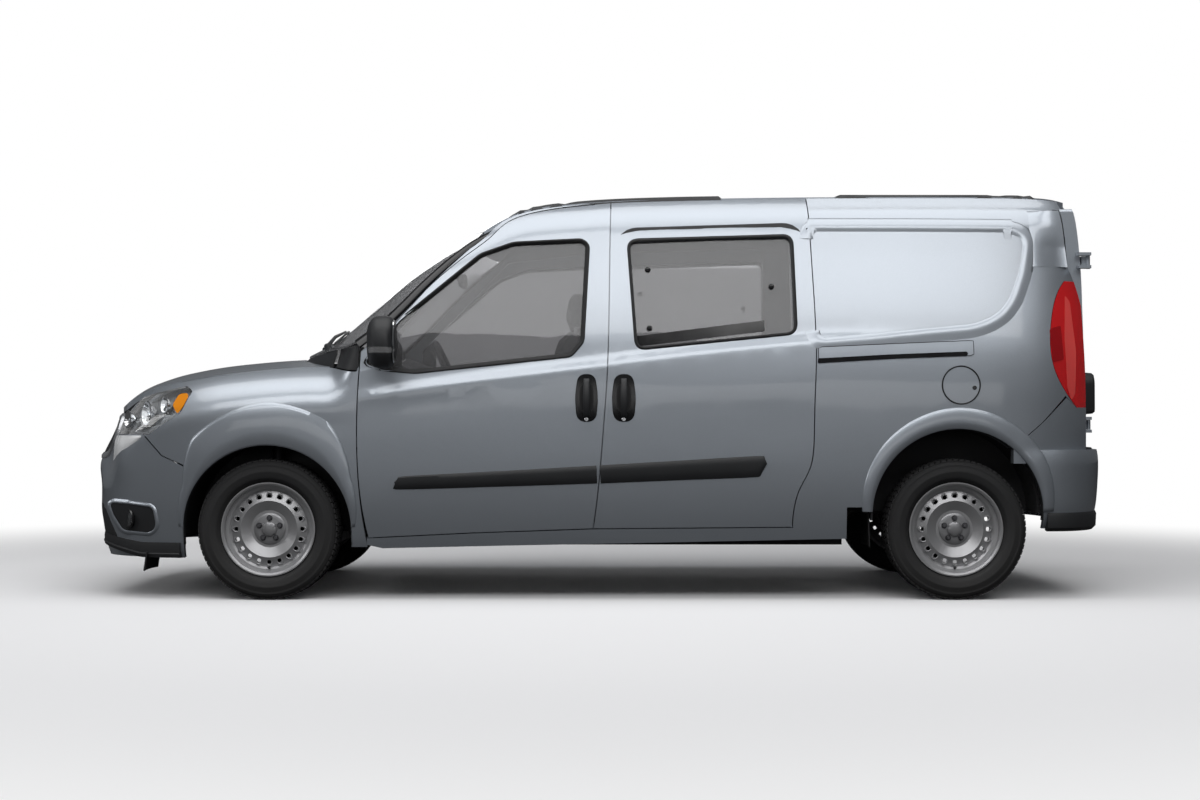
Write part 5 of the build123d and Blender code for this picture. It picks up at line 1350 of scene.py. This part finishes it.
class VAN_OT_tail(bpy.types.Operator):
    """Rear window seals, plate and its housing, lamps, corner posts, wiper, apron and step pad"""
    bl_idname = "van.tail"
    bl_label = "Tail"

    def execute(self, context):
        skin, side = rear_skin(), side_skin()
        seal = [(-0.012, -0.014), (0.006, -0.003), (0.007, 0.002), (0.0, 0.004), (-0.008, 0.0), (-0.013, -0.008)]
        for name in SIDES:
            low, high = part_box(f"rear_door_glass_{name}")
            outline = rounded([(low.y, low.z), (high.y, low.z), (high.y, high.z), (low.y, high.z)], 0.04, 6)
            joined(f"rear_window_seal_{name}",
                   [strip_shell(loop_path(outline, 0.015)[::-1], seal, skin, closed=True)], rubber(),
                   f"rear_door_{name}_body", "black_trim")
        housing = rounded([(-0.42, 0.838), (0.135, 0.838), (0.135, 1.005), (0.10, 1.040), (-0.38, 1.040),
                           (-0.42, 1.0)], 0.02, 5)
        joined("plate_housing",
               [stepped_plate(housing, skin, ((0.0, -0.002), (0.0, 0.020), (0.010, 0.062), (0.030, 0.074)))],
               black_plastic(), "rear_door_left_body", "black_trim", sharp=30)
        plate = plate_shell(rounded([(-0.40, 0.700), (0.12, 0.700), (0.12, 0.815), (-0.40, 0.815)], 0.01, 4), skin,
                            0.006, 0.004, 0.06)
        joined("rear_plate", [plate], blank_plate(), "rear_door_left_body", "black_trim")
        lamp = plate_shell(rounded([(-0.16, 1.752), (0.12, 1.752), (0.12, 1.770), (-0.16, 1.770)], 0.006, 3), skin,
                           0.010, 0.010, 0.04)
        joined("high_stop_lamp", [lamp], red_lens(), ROOT, "lamp_red")
        both_sides("rear_corner_post", [self.corner_post(side)], body_paint(), slot="body_paint", sharp=60)
        # A brighter red strip along the lamp's rear edge: a painted highlight standing in for the lighter sheen of
        # light on the lens.
        painted_highlight_outline = metres([(2126, 1380), (2150, 1350), (2168, 1120), (2160, 930), (2140, 900), (2118, 960),
                         (2112, 1180)])
        both_sides("tail_lamp_strip", [plate_shell(rounded(painted_highlight_outline, 0.012, 4), side, 0.0025, 0.002)],
                   lens("Bright Red Lens", (0.95, 0.11, 0.10), transmission=0.3), slot="lamp_red")
        cell = metres([(2040, 1222), (2096, 1240), (2104, 1085), (2052, 1072)])
        both_sides("tail_lamp_cell", [plate_shell(rounded(cell, 0.01, 4), side, 0.0022, 0.002)],
                   lens("Dark Red Lens", (0.40, 0.006, 0.01), transmission=0.2), slot="lamp_red")
        self.wiper(skin)
        tree = ray_tree(["rear_bumper"])
        for name, z, reach, count, section in (
                ("rear_apron", 0.40, 87, 110, ((-0.040, 0.314), (-0.012, 0.310), (0.004, 0.326), (0.007, 0.380),
                                               (0.001, 0.394), (-0.040, 0.394))),
                ("step_pad", 0.66, 46, 60, ((-0.055, 0.677), (-0.004, 0.677), (0.001, 0.673), (0.000, 0.680),
                                            (-0.006, 0.683), (-0.055, 0.683)))):
            ring = plan_ring(tree, z, 1.95, np.linspace(math.radians(-reach), math.radians(reach), count))
            joined(name, [level_lip(ring, section)], black_plastic(), ROOT, "black_trim")
        return {"FINISHED"}

    @staticmethod
    def corner_post(side):
        """Fills the corner between the body, which leans in at the top, and the rear door's upright edge."""
        start_x, door_y = 1.975, -0.729
        post = []
        for z in np.linspace(1.51, 1.772, 24):
            start = side.point(start_x, z, 0.0005).y
            edge = min(door_y, side.point(2.08, z, 0.0).y + 0.012)
            end = float(np.interp(z, (1.5, 1.6, 1.65, 1.7, 1.75, 1.772), (2.147, 2.141, 2.135, 2.129, 2.118, 2.113)))
            outer = []
            for t in np.linspace(0, 1, 12):
                x = start_x + (end - start_x) * t
                blend = start + (edge - start) * t * t * (3 - 2 * t)
                outer.append((x, min(blend, side.point(x, z, 0.0005).y) if x < 2.09 else blend, z))
            post.append(outer + [(end, edge + 0.05, z), (2.0, start + 0.04, z)])
        return rings_shell(post)

    @staticmethod
    def wiper(skin):
        pivot = (0.10, 1.095)
        arm = [skin.point(y, z, out) for y, z, out in (
            (*pivot, 0.022), (0.02, 1.115, 0.032), (-0.14, 1.165, 0.026), (-0.30, 1.215, 0.020))]
        blade = strip_shell([(y, 1.19 + (-0.14 - y) * 0.30) for y in np.linspace(0.02, -0.40, 24)],
                            [(-0.006, 0.002), (-0.006, 0.014), (0.006, 0.014), (0.006, 0.002)], skin)
        boss = turned_shell([(-0.01, 0.0), (-0.01, 0.019), (0.022, 0.017), (0.030, 0.010), (0.031, 0.0)],
                            skin.point(*pivot, 0), (1, 0, 0), 32, closed=False)
        joined("rear_wiper", [tube_shell(arm, [0.008, 0.007, 0.005, 0.004], 10), blade, boss], black_plastic(),
               "rear_door_left_body", "black_trim")


PILLAR_LINE = [(400, 879, 1160), (500, 861, 1237), (600, 838, 1332), (700, 808, 1437), (800, 774, 1532),
               (900, 737, 1615), (985, 704, 1668), (1070, 672, 1712)]
ROOF_LINE = [(1070, 632), (1289, 590), (1509, 580), (2200, 578), (3266, 572), (3440, 560), (3542, 548)]


class VAN_OT_roof_trim(bpy.types.Operator):
    """Roof ditch strips, pillar finishers, roof beads and the aerial"""
    bl_idname = "van.roof_trim"
    bl_label = "Roof trim"

    def execute(self, context):
        top = top_skin()
        ditch = smooth_path([(front(x), -y / 1000) for x, y in ROOF_LINE], 0.03)
        shell = strip_shell(ditch, [(-0.013, -0.006), (-0.012, 0.005), (-0.006, 0.0115), (0.006, 0.0115),
                                    (0.012, 0.005), (0.013, -0.006)], top)
        both_sides("roof_ditch_strip", [shell], black_plastic(), slot="black_trim")
        line = smooth_path([(front(x), -y / 1000, z / 1000) for x, y, z in PILLAR_LINE], 0.02)
        section = ((-0.016, -0.006), (-0.016, 0.0015), (0.004, 0.004), (0.028, 0.003), (0.040, -0.002),
                   (0.040, -0.010))
        rings = []
        for i, p in enumerate(line):
            way = Vector(line[min(i + 1, len(line) - 1)] - line[max(i - 1, 0)]).normalized()
            out = Vector((-0.25, -0.62, 0.72))
            out = (out - way * out.dot(way)).normalized()
            down = way.cross(out).normalized()
            if down.z > 0:
                down = -down
            fade = 1.0 - 0.45 * i / len(line)
            rings.append([Vector(p) + down * a * fade + out * o for a, o in section])
        both_sides("pillar_finisher", [rings_shell(rings)], gloss_black(), slot="black_trim", sharp=60)
        bead = [(-0.022, -0.001), (-0.012, 0.003), (0, 0.0042), (0.012, 0.003), (0.022, -0.001)]
        beads = [strip_shell([(x, y) for x in np.linspace(front(1500), rear(330), 70)], bead, top)
                 for y in (-0.40, -0.20, 0.0, 0.20, 0.40)]
        joined("roof_beads", beads, body_paint(), ROOT, "body_paint", sharp=80)
        aerial = turned_shell([(0, 0.0), (0.0, 0.021), (0.007, 0.019), (0.014, 0.008), (0.030, 0.006), (0.034, 0.0)],
                              top.point(-0.500, 0.0, -0.002), (0.35, 0, 0.94), 28, closed=False)
        joined("aerial_base", [aerial], black_plastic(), ROOT, "black_trim")
        return {"FINISHED"}


class VAN_OT_wipers(bpy.types.Operator):
    """Windshield wipers and the interior mirror"""
    bl_idname = "van.wipers"
    bl_label = "Wipers"

    def execute(self, context):
        top = top_skin()
        blade = [(-0.006, 0.003), (-0.006, 0.012), (-0.002, 0.017), (0.002, 0.017), (0.006, 0.012), (0.006, 0.003)]
        boss = [(-0.02, 0.0), (-0.02, 0.018), (0.020, 0.016), (0.027, 0.009), (0.028, 0.0)]
        shells = []
        for (x, y), (end_x, end_y) in (((front(215), -0.60), (front(205), -0.02)),
                                       ((front(120), -0.02), (front(215), 0.56))):
            mid_x, mid_y = (x + end_x) / 2, (y + end_y) / 2
            path = smooth_path([(x, y), (mid_x + 0.02, mid_y), (end_x, end_y)], 0.02)
            shells.append(strip_shell(path + np.array([0.05, 0.0]), blade, top))
            arm = [top.point(x + 0.02, y, 0.018), top.point(x + 0.035, y + 0.12, 0.034),
                   top.point(mid_x + 0.065, mid_y, 0.022)]
            shells.append(tube_shell(arm, [0.010, 0.008, 0.005], 10))
            shells.append(turned_shell(boss, top.point(x + 0.02, y, 0.0), (-0.3, 0, 0.95), 28, closed=False))
        joined("front_wipers", shells, black_plastic(), ROOT, "black_trim")
        mirror = [[(-0.66 + d, 0.105 * bulge(math.cos(a), 0.5) * grow, 1.50 + 0.034 * bulge(math.sin(a), 0.6) * grow)
                   for a in round_turn(32)] for d, grow in ((-0.03, 0.7), (-0.015, 0.97), (0.0, 1.0), (0.003, 0.94))]
        stalk = tube_shell([(-0.69, 0, 1.505), (-0.72, 0, 1.545), (-0.735, 0, 1.585)], 0.010, 12)
        joined("cabin_mirror", [rings_shell(mirror), stalk], cabin_plastic(), ROOT, "cabin_plastic")
        return {"FINISHED"}


def wheel_middle(node, side):
    middle = centre_of(node)
    return Vector((middle.x, side * TRACK, middle.z))


class VAN_OT_wheels(bpy.types.Operator):
    """Bolts, hole collars, scalloped centre caps and valves of the steel wheels"""
    bl_idname = "van.wheels"
    bl_label = "Steel wheels"

    CAP_STEPS = ((0.0715, 0.036), (0.0715, 0.041), (0.066, 0.0445), (0.052, 0.0445), (0.036, 0.046), (0.033, 0.054),
                 (0.028, 0.057), (0.012, 0.0585), (0.002, 0.059))

    def execute(self, context):
        sizes = context.scene.van_wheel
        dark = metal("Wheel Bolt", (0.16, 0.16, 0.17), rough=0.38, metallic=0.85)
        verts, faces = turned_shell([(0.0, 0.0088), (0.002, 0.0092), (0.003, 0.0116), (0.001, 0.0138),
                                     (-0.002, 0.0146), (-0.002, 0.0088)], (0, 0, 0), (0, -1, 0), 18)
        oval = ([Vector((v.x, v.y, v.z * 1.48)) for v in verts], faces)
        head = rings_shell([[(math.cos(a) * 0.0098 * grow, y, math.sin(a) * 0.0098 * grow) for a in round_turn(6)]
                            for y, grow in ((0.004, 1.0), (-0.010, 1.0), (-0.013, 0.78))])
        washer = turned_shell([(0.0, 0.009), (0.002, 0.0135), (-0.003, 0.0135), (-0.003, 0.009)], (0, 0, 0),
                              (0, -1, 0), 20)
        for corner, side in CORNERS.items():
            hub = wheel_middle(f"rim_{corner}", side)
            body = f"wheel_{corner}"
            mirror = side == RIGHT
            out = Vector((0, side, 0))
            repeat(f"rim_collars_{corner}", [oval], wheel_paint(), hub + out * 0.0515, body, "wheel_steel", mirror,
                   60, Count=sizes.hole_count, Radius=0.149)
            repeat(f"wheel_bolts_{corner}", [head, washer], dark, hub + out * 0.045, body, "wheel_steel", mirror, 35,
                   Count=sizes.bolt_count, Radius=sizes.bolt_radius)
            joined(f"centre_cap_{corner}", [self.cap_shell(hub, out)],
                   metal("Cap Paint", (0.34, 0.34, 0.35), rough=0.35, metallic=0.6), body, "wheel_steel", 50)
            stem = [hub + out * rise + Vector((0, 0, z))
                    for rise, z in ((0.046, -0.178), (0.060, -0.176), (0.076, -0.173))]
            joined(f"tyre_valve_{corner}", [tube_shell(stem, [0.0055, 0.0050, 0.0042], 14)], rubber(), body,
                   "tyre_rubber")
        return {"FINISHED"}

    def cap_shell(self, hub, out):
        """The hub's centre: a stepped dome with scallops between the bolts."""
        rings = []
        for reach, rise in self.CAP_STEPS:
            ring = []
            for a in round_turn(90):
                scallop = 1 - 0.10 * max(0.0, math.cos(5 * a)) ** 3 if 0.03 < reach < 0.06 else 1.0
                ring.append(hub + out * rise + Vector((math.sin(a) * reach * scallop, 0,
                                                       math.cos(a) * reach * scallop)))
            rings.append(ring)
        return rings_shell(rings)


class VAN_OT_tyres(bpy.types.Operator):
    """Tyres with grooved tread blocks and ribbed sidewalls"""
    bl_idname = "van.tyres"
    bl_label = "Tyres"

    WALL = [(0.078, 0.2042), (0.0785, 0.214), (0.084, 0.219), (0.093, 0.2235), (0.0955, 0.2275), (0.0985, 0.2285),
            (0.1010, 0.2330), (0.1045, 0.245), (0.1062, 0.256), (0.1070, 0.2585), (0.1070, 0.2625), (0.1060, 0.265),
            (0.1035, 0.280), (0.1010, 0.2870), (0.1022, 0.2895), (0.1005, 0.2925), (0.0975, 0.2975),
            (0.0935, 0.3045), (0.0870, 0.3085), (0.0500, 0.3100), (0.0, 0.3102)]
    # Each row of blocks: its place across the tread, its width, its slant and its outer radius.
    ROWS = ((-0.080, 0.022, 0.0035, 0.3145), (-0.046, 0.026, -0.0045, 0.3172), (-0.0145, 0.020, 0.003, 0.3178),
            (0.0145, 0.020, -0.003, 0.3178), (0.046, 0.026, 0.0045, 0.3172), (0.080, 0.022, -0.0035, 0.3145))
    OUTER_RADIUS, ROW_RADIUS, FOOT_RADIUS = 0.3178, 0.31, 0.3075
    BLOCK_SHARE, BLOCK_TAPER = 0.80, 0.93

    def execute(self, context):
        count = context.scene.van_wheel.tread_count
        tread = plastic("Tyre Rubber", (0.018, 0.018, 0.019), rough=0.72, scale=500.0, depth=0.35, dusty=0.06)
        profile = self.WALL + [(-a, r) for a, r in reversed(self.WALL[:-1])]
        rows = [self.tread_block(count, *row) for row in self.ROWS]
        for corner, side in CORNERS.items():
            centre = wheel_middle(f"tyre_{corner}", side)
            body = f"wheel_{corner}"
            carcass = joined(f"tyre_carcass_{corner}", [turned_shell(profile, centre, (0, 1, 0), 160)], tread, body,
                             "tyre_rubber", 60)
            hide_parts(f"tyre_{corner}")
            repeat(f"tyre_tread_{corner}", rows, tread, centre, body, "tyre_rubber", side == RIGHT, 30, Count=count,
                   Radius=self.ROW_RADIUS)
        return {"FINISHED"}

    def tread_block(self, count, y, wide, slant, top):
        half, long = wide / 2, math.pi * self.OUTER_RADIUS / count * self.BLOCK_SHARE
        foot, height = self.FOOT_RADIUS - self.ROW_RADIUS, top - self.ROW_RADIUS
        low = [(-long - slant, y - half, foot), (long - slant, y - half, foot), (long + slant, y + half, foot),
               (-long + slant, y + half, foot)]
        high = [(x * self.BLOCK_TAPER, y + (v - y) * self.BLOCK_TAPER, height) for x, v, _ in low]
        return low + high, [[3, 2, 1, 0], [4, 5, 6, 7], [0, 1, 5, 4], [1, 2, 6, 5], [2, 3, 7, 6], [3, 0, 4, 7]]


def cushion_shell(low, high, crown, waist):
    """A crowned box: its top swells by crown, and its sides pull in between the corners by waist."""
    cuts = 14
    low, high = Vector(low), Vector(high)
    bm = bmesh.new()
    bmesh.ops.create_cube(bm, size=2.0)
    bmesh.ops.subdivide_edges(bm, edges=bm.edges[:], cuts=cuts, use_grid_fill=True)
    middle, half = (low + high) / 2, (high - low) / 2
    for v in bm.verts:
        a, b, c = v.co
        round_off = 1 - 0.10 * (abs(a) ** 6 * abs(b) ** 6 + abs(a) ** 6 * abs(c) ** 6 + abs(b) ** 6 * abs(c) ** 6)
        x = a * (1 - waist * (1 - b * b)) * round_off
        y = b * (1 - waist * (1 - a * a)) * round_off
        z = c * round_off + (crown * (1 - a ** 4) * (1 - b ** 4) if c > 0 else 0)
        v.co = middle + Vector((x * half.x, y * half.y, z * half.z))
    bm.verts.ensure_lookup_table()
    verts = [v.co.copy() for v in bm.verts]
    faces = [[v.index for v in f.verts] for f in bm.faces]
    bm.free()
    return verts, faces


CLOTH_PRESSURE, CLOTH_FRAMES = 4.0, 14


def simulate(piece, cap, voxel=0.007):
    """Swells a pad by cloth pressure, and keeps each point within cap of where it started."""
    remesh = piece.modifiers.new("Even Mesh", "REMESH")
    remesh.mode = "VOXEL"
    remesh.voxel_size = voxel
    bpy.context.view_layer.update()
    ready = piece.evaluated_get(bpy.context.evaluated_depsgraph_get())
    mesh = bpy.data.meshes.new_from_object(ready)
    piece.modifiers.clear()
    mesh.materials.clear()
    for material in piece.data.materials:
        mesh.materials.append(material)
    piece.data = mesh
    start = np.array([v.co for v in mesh.vertices], float)
    cloth = piece.modifiers.new("Cloth", "CLOTH")
    cloth.settings.use_pressure = True
    cloth.settings.uniform_pressure_force = CLOTH_PRESSURE
    cloth.settings.effector_weights.gravity = 0
    cloth.settings.quality = 4
    cloth.point_cache.frame_start, cloth.point_cache.frame_end = 1, CLOTH_FRAMES
    for number in range(1, CLOTH_FRAMES + 1):
        bpy.context.scene.frame_set(number)
    ready = piece.evaluated_get(bpy.context.evaluated_depsgraph_get())
    swollen = np.array([v.co for v in ready.data.vertices], float)
    piece.modifiers.clear()
    bpy.context.scene.frame_set(1)
    way = swollen - start
    length = np.maximum(np.linalg.norm(way, axis=1), 1e-9)
    start = start + way * np.minimum(1, cap / length)[:, None]
    mesh.vertices.foreach_set("co", start.astype(np.float32).ravel())
    mesh.update()


def groove(piece, lines, axis):
    """Presses sewn channels: each line is (across axis, place); points near it sink along axis."""
    width, depth = 0.007, 0.010
    mesh = piece.data
    co = np.array([v.co for v in mesh.vertices], float)
    normal = np.array([v.normal for v in mesh.vertices], float)
    for across, place in lines:
        near = np.exp(-((co[:, across] - place) / width) ** 2) * np.clip(normal @ np.array(axis), 0, 1)
        co -= near[:, None] * np.array(axis) * depth
    mesh.vertices.foreach_set("co", co.astype(np.float32).ravel())
    mesh.update()


class VAN_OT_seats(bpy.types.Operator):
    """Padded seats: cushions, backrests and headrests on plastic bases"""
    bl_idname = "van.seats"
    bl_label = "Seats"

    def execute(self, context):
        cloth = woven("Cushion Cloth", (0.060, 0.062, 0.068))
        low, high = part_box("seat_left")
        mid_y = (low.y + high.y) / 2
        back_x = low.x + 0.530
        cushion = self.pad("seat_cushion_left", cloth, 0.04, cushion_shell(
            (low.x + 0.030, mid_y - 0.228, 0.585), (low.x + 0.500, mid_y + 0.228, 0.668), 0.10, 0.05),
            about=(low.x + 0.25, 0, 0.62))
        simulate(cushion, 0.016)
        groove(cushion, [(1, mid_y - 0.14), (1, mid_y + 0.14), (0, low.x + 0.34)], (0, 0, 1))
        back = self.pad("seat_back_left", cloth, math.radians(-74), cushion_shell(
            (-0.245, -0.222, -0.050), (0.300, 0.222, 0.045), 0.16, 0.05), place=(back_x + 0.055, mid_y, 0.945))
        simulate(back, 0.016)
        facing = Vector((-math.cos(math.radians(16)), 0, math.sin(math.radians(16))))
        groove(back, [(1, mid_y - 0.135), (1, mid_y + 0.135), (2, 1.02)], tuple(facing))
        head = self.pad("seat_headrest_left", cloth, math.radians(-80), cushion_shell(
            (-0.080, -0.112, -0.038), (0.080, 0.112, 0.038), 0.12, 0.06), place=(high.x - 0.063, mid_y, 1.330))
        simulate(head, 0.010, 0.006)
        for name, piece, fill in (("seat_cushion", cushion, 0.6), ("seat_back", back, 0.6),
                                  ("seat_headrest", head, 0.7)):
            other = piece.data.copy()
            other.transform(Matrix.Scale(-1, 4, (0, 1, 0)))
            other.flip_normals()
            twin = bpy.data.objects.new(f"{name}_right", other)
            bpy.context.scene.collection.objects.link(twin)
            for pad in (piece, twin):
                pad.data.shade_smooth()
                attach(pad, ROOT)
                smooth = pad.modifiers.new("Fine", "SUBSURF")
                smooth.levels = smooth.render_levels = 1
        bases = [box_shell((x - 0.02, mid_y - 0.19, 0.322), (x + 0.02, mid_y + 0.19, 0.590))
                 for x in (low.x + 0.10, low.x + 0.46)]
        bases.append(box_shell((low.x + 0.03, mid_y - 0.215, 0.555), (low.x + 0.52, mid_y + 0.215, 0.592)))
        bases.append(rings_shell([[(back_x + 0.075 + (z - 0.60) * 0.287 + d, mid_y + y, z) for y, d in (
            (-0.215, -0.02), (-0.19, 0.03), (0.0, 0.045), (0.19, 0.03), (0.215, -0.02), (0.0, -0.015))]
            for z in np.linspace(0.62, 1.18, 12)]))
        posts = [tube_shell([(high.x - 0.075, mid_y + y, 1.17), (high.x - 0.068, mid_y + y, 1.30)], 0.0065, 12)
                 for y in (-0.05, 0.05)]
        for name, side in SIDES.items():
            base = joined(f"seat_base_{name}", on_side(side, bases), cabin_plastic(), ROOT, "cabin_plastic")
            soften(base, 0.006)
            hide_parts(f"seat_{name}")
            joined(f"headrest_posts_{name}", on_side(side, posts), silver_metal(), ROOT, "chassis_metal")
        return {"FINISHED"}

    @staticmethod
    def pad(name, material, angle, shell, about=(0, 0, 0), place=(0, 0, 0)):
        """A pad turned about the Y axis through a point, then moved to its place."""
        turn, about = Matrix.Rotation(angle, 4, "Y"), Vector(about)
        verts = [turn @ (v - about) + about + Vector(place) for v in shell[0]]
        mesh = bpy.data.meshes.new(name)
        mesh.from_pydata([tuple(v) for v in verts], [], shell[1])
        mesh.materials.append(material)
        piece = bpy.data.objects.new(name, mesh)
        bpy.context.scene.collection.objects.link(piece)
        return piece


class VAN_OT_cabin(bpy.types.Operator):
    """Steering wheel, dashboard top, screen, vents, gear lever and door trims"""
    bl_idname = "van.cabin"
    bl_label = "Cabin"

    BROW_HEIGHT = 0.042
    DRIVER_Y = -0.375

    def execute(self, context):
        self.steering_wheel()
        self.dashboard(front(470))
        skin = side_skin()
        trim = metres([(-980, 350), (-60, 372), (-40, 1060), (-120, 1080), (-800, 1010), (-985, 1000)])
        panel = plate_shell(rounded(trim, 0.05, 6), skin, -0.0605, 0.008, 0.05)
        rest = moulding_shell(metres([(-760, 800), (-500, 812), (-200, 826)]),
                              metres([(-760, 740), (-500, 752), (-200, 770)]), skin, 0.012)
        both_sides("door_trim", [panel, moved(rest, (0, 0.083, 0))], cabin_plastic(), "front_door_{}_body",
                   "cabin_plastic")
        return {"FINISHED"}

    def steering_wheel(self):
        hub = Vector((front(790), self.DRIVER_Y, 1.010))
        tilt = math.radians(24)
        axis = Vector((math.cos(tilt), 0, math.sin(tilt)))
        up = Vector((-math.sin(tilt), 0, math.cos(tilt)))
        side = Vector((0, 1, 0))
        rim = []
        for a in round_turn(72):
            spoke = up * math.cos(a) + side * math.sin(a)
            thick = 0.0145 + 0.002 * max(0.0, math.cos(2 * a)) ** 2
            rim.append([hub + spoke * (0.180 + thick * math.cos(b)) + axis * (thick * 0.86 * math.sin(b))
                        for b in round_turn(16)])
        shells = [rings_shell(rim, wrap=True)]
        for a in (math.radians(90), math.radians(-90), math.radians(180)):
            spoke = up * math.cos(a) + side * math.sin(a)
            flat = spoke.cross(axis)
            shells.append(rings_shell([
                [hub + spoke * r + flat * (w * math.cos(b)) + axis * (-d + 0.008 * math.sin(b))
                 for b in round_turn(14)]
                for r, w, d in ((0.045, 0.030, 0.012), (0.10, 0.022, 0.012), (0.150, 0.018, 0.006),
                                (0.176, 0.017, 0.0))]))
        shells.append(rings_shell([
            [hub + (up * (0.062 * bulge(math.cos(b), 0.6)) + side * (0.078 * bulge(math.sin(b), 0.6))) * grow
             + axis * d for b in round_turn(40)]
            for grow, d in ((0.75, -0.055), (0.98, -0.045), (1.0, -0.010), (0.92, 0.006), (0.6, 0.014))]))
        wheel = joined("steering_wheel_rim", shells,
                       plastic("Wheel Grip", (0.020, 0.020, 0.022), rough=0.5, scale=1600.0, depth=0.5, dusty=0.0),
                       "steering_wheel_body", "cabin_plastic", 50)
        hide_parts("steering_wheel")

    def dashboard(self, x):
        section = [(0.002, 1.046), (0.030, 1.056), (0.120, 1.060), (0.235, 1.010), (0.262, 0.985), (0.240, 0.975),
                   (0.02, 1.030)]
        rings = []
        for y in np.linspace(-0.70, 0.70, 71):
            share = math.exp(-((y - self.DRIVER_Y) / 0.16) ** 4)
            rings.append([(x + dx + (0.02 * share if dx > 0.2 else 0.0), y,
                           z + (self.BROW_HEIGHT * share if 0.08 < dx < 0.255 and z > 0.98 else 0))
                          for dx, z in section])
        joined("dash_top", [rings_shell(rings)], cabin_plastic(), ROOT, "cabin_plastic", 60)
        corners = rounded([(0, 0), (1, 0), (1, 1), (0, 1)], 0.08, 4)
        fittings = [rings_shell([[(x + 0.272 + d, -0.09 + 0.18 * u, 0.935 + 0.10 * v) for u, v in corners]
                                 for d in (-0.03, 0.004, 0.008)])]
        vent_z, slat_gap = 0.925, 0.012
        for y in (-0.62, -0.155, 0.155, 0.62):
            fittings.append(turned_shell([(-0.012, 0.038), (0.006, 0.044), (0.010, 0.041), (0.008, 0.034),
                                          (-0.008, 0.032)], (x + 0.288, y, vent_z), (0.93, 0, 0.36), 36))
            for z in (vent_z + k * slat_gap for k in (-2, -1, 0, 1, 2)):
                fittings.append(box_shell((x + 0.280, y - 0.030, z - 0.0015), (x + 0.292, y + 0.030, z + 0.0015)))
        joined("dash_fittings", fittings, gloss_black(), ROOT, "cabin_plastic")
        lever = tube_shell([(x + 0.30, -0.02, 0.66), (x + 0.315, -0.02, 0.76), (x + 0.318, -0.02, 0.80)],
                           [0.010, 0.009, 0.022], 16)
        gaiter = turned_shell([(0.0, 0.060), (0.03, 0.050), (0.055, 0.028), (0.085, 0.014), (0.085, 0.0)],
                              (x + 0.295, -0.02, 0.640), (0.1, 0, 1), 24, closed=False)
        joined("gear_lever", [lever, gaiter], cabin_plastic(), ROOT, "cabin_plastic", 60)


class VAN_OT_underbody(bpy.types.Operator):
    """Mud flaps and the exhaust's tip"""
    bl_idname = "van.underbody"
    bl_label = "Underbody"

    def execute(self, context):
        flap = []
        for y in np.linspace(-0.86, -0.60, 12):
            x = 1.214 + 0.01 * math.sin(math.pi * (y + 0.86) / 0.26)
            flap.append([(x, y, 0.415), (x + 0.008, y, 0.240), (x + 0.013, y, 0.236), (x + 0.006, y, 0.415)])
        both_sides("mud_flap", [rings_shell(flap)], rubber(), slot="black_trim")
        tip = turned_shell([(0.0, 0.024), (0.0, 0.031), (0.115, 0.033), (0.120, 0.031), (0.118, 0.026), (0.02, 0.024)],
                           (REAR_AXLE.x + 0.545, 0.30, 0.395), (1, 0, -0.12), 40)
        joined("exhaust_tip", [tip], silver_metal(), ROOT, "chassis_metal")
        return {"FINISHED"}


STEPS = (VAN_OT_stage, VAN_OT_finishes, VAN_OT_pressed_panels, VAN_OT_wheel_arches, VAN_OT_side_mouldings,
         VAN_OT_door_handles, VAN_OT_slide_rail, VAN_OT_window_seals, VAN_OT_mirrors, VAN_OT_headlamps, VAN_OT_fascia,
         VAN_OT_tail, VAN_OT_roof_trim, VAN_OT_wipers, VAN_OT_wheels, VAN_OT_tyres, VAN_OT_seats, VAN_OT_cabin,
         VAN_OT_underbody)


class VAN_PT_panel(bpy.types.Panel):
    """The van's sizes and building steps"""
    bl_label = "Cargo Van"
    bl_idname = "VAN_PT_panel"
    bl_space_type = "VIEW_3D"
    bl_region_type = "UI"
    bl_category = "Van"

    def draw(self, context):
        for group in (context.scene.van_body, context.scene.van_wheel, context.scene.van_stage):
            box = self.layout.box()
            for name in group.__annotations__:
                box.prop(group, name)
        for step in STEPS:
            self.layout.operator(step.bl_idname)


CLASSES = (VAN_PG_body, VAN_PG_wheel, VAN_PG_stage, *STEPS, VAN_PT_panel)


def register():
    for made in CLASSES:
        bpy.utils.register_class(made)
    bpy.types.Scene.van_body = PointerProperty(type=VAN_PG_body)
    bpy.types.Scene.van_wheel = PointerProperty(type=VAN_PG_wheel)
    bpy.types.Scene.van_stage = PointerProperty(type=VAN_PG_stage)


def unregister():
    del bpy.types.Scene.van_body
    del bpy.types.Scene.van_wheel
    del bpy.types.Scene.van_stage
    for made in reversed(CLASSES):
        bpy.utils.unregister_class(made)


def main():
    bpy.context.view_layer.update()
    register()
    for step in STEPS:
        group, name = step.bl_idname.split(".")
        getattr(getattr(bpy.ops, group), name)()


if __name__ == "__main__":
    main()
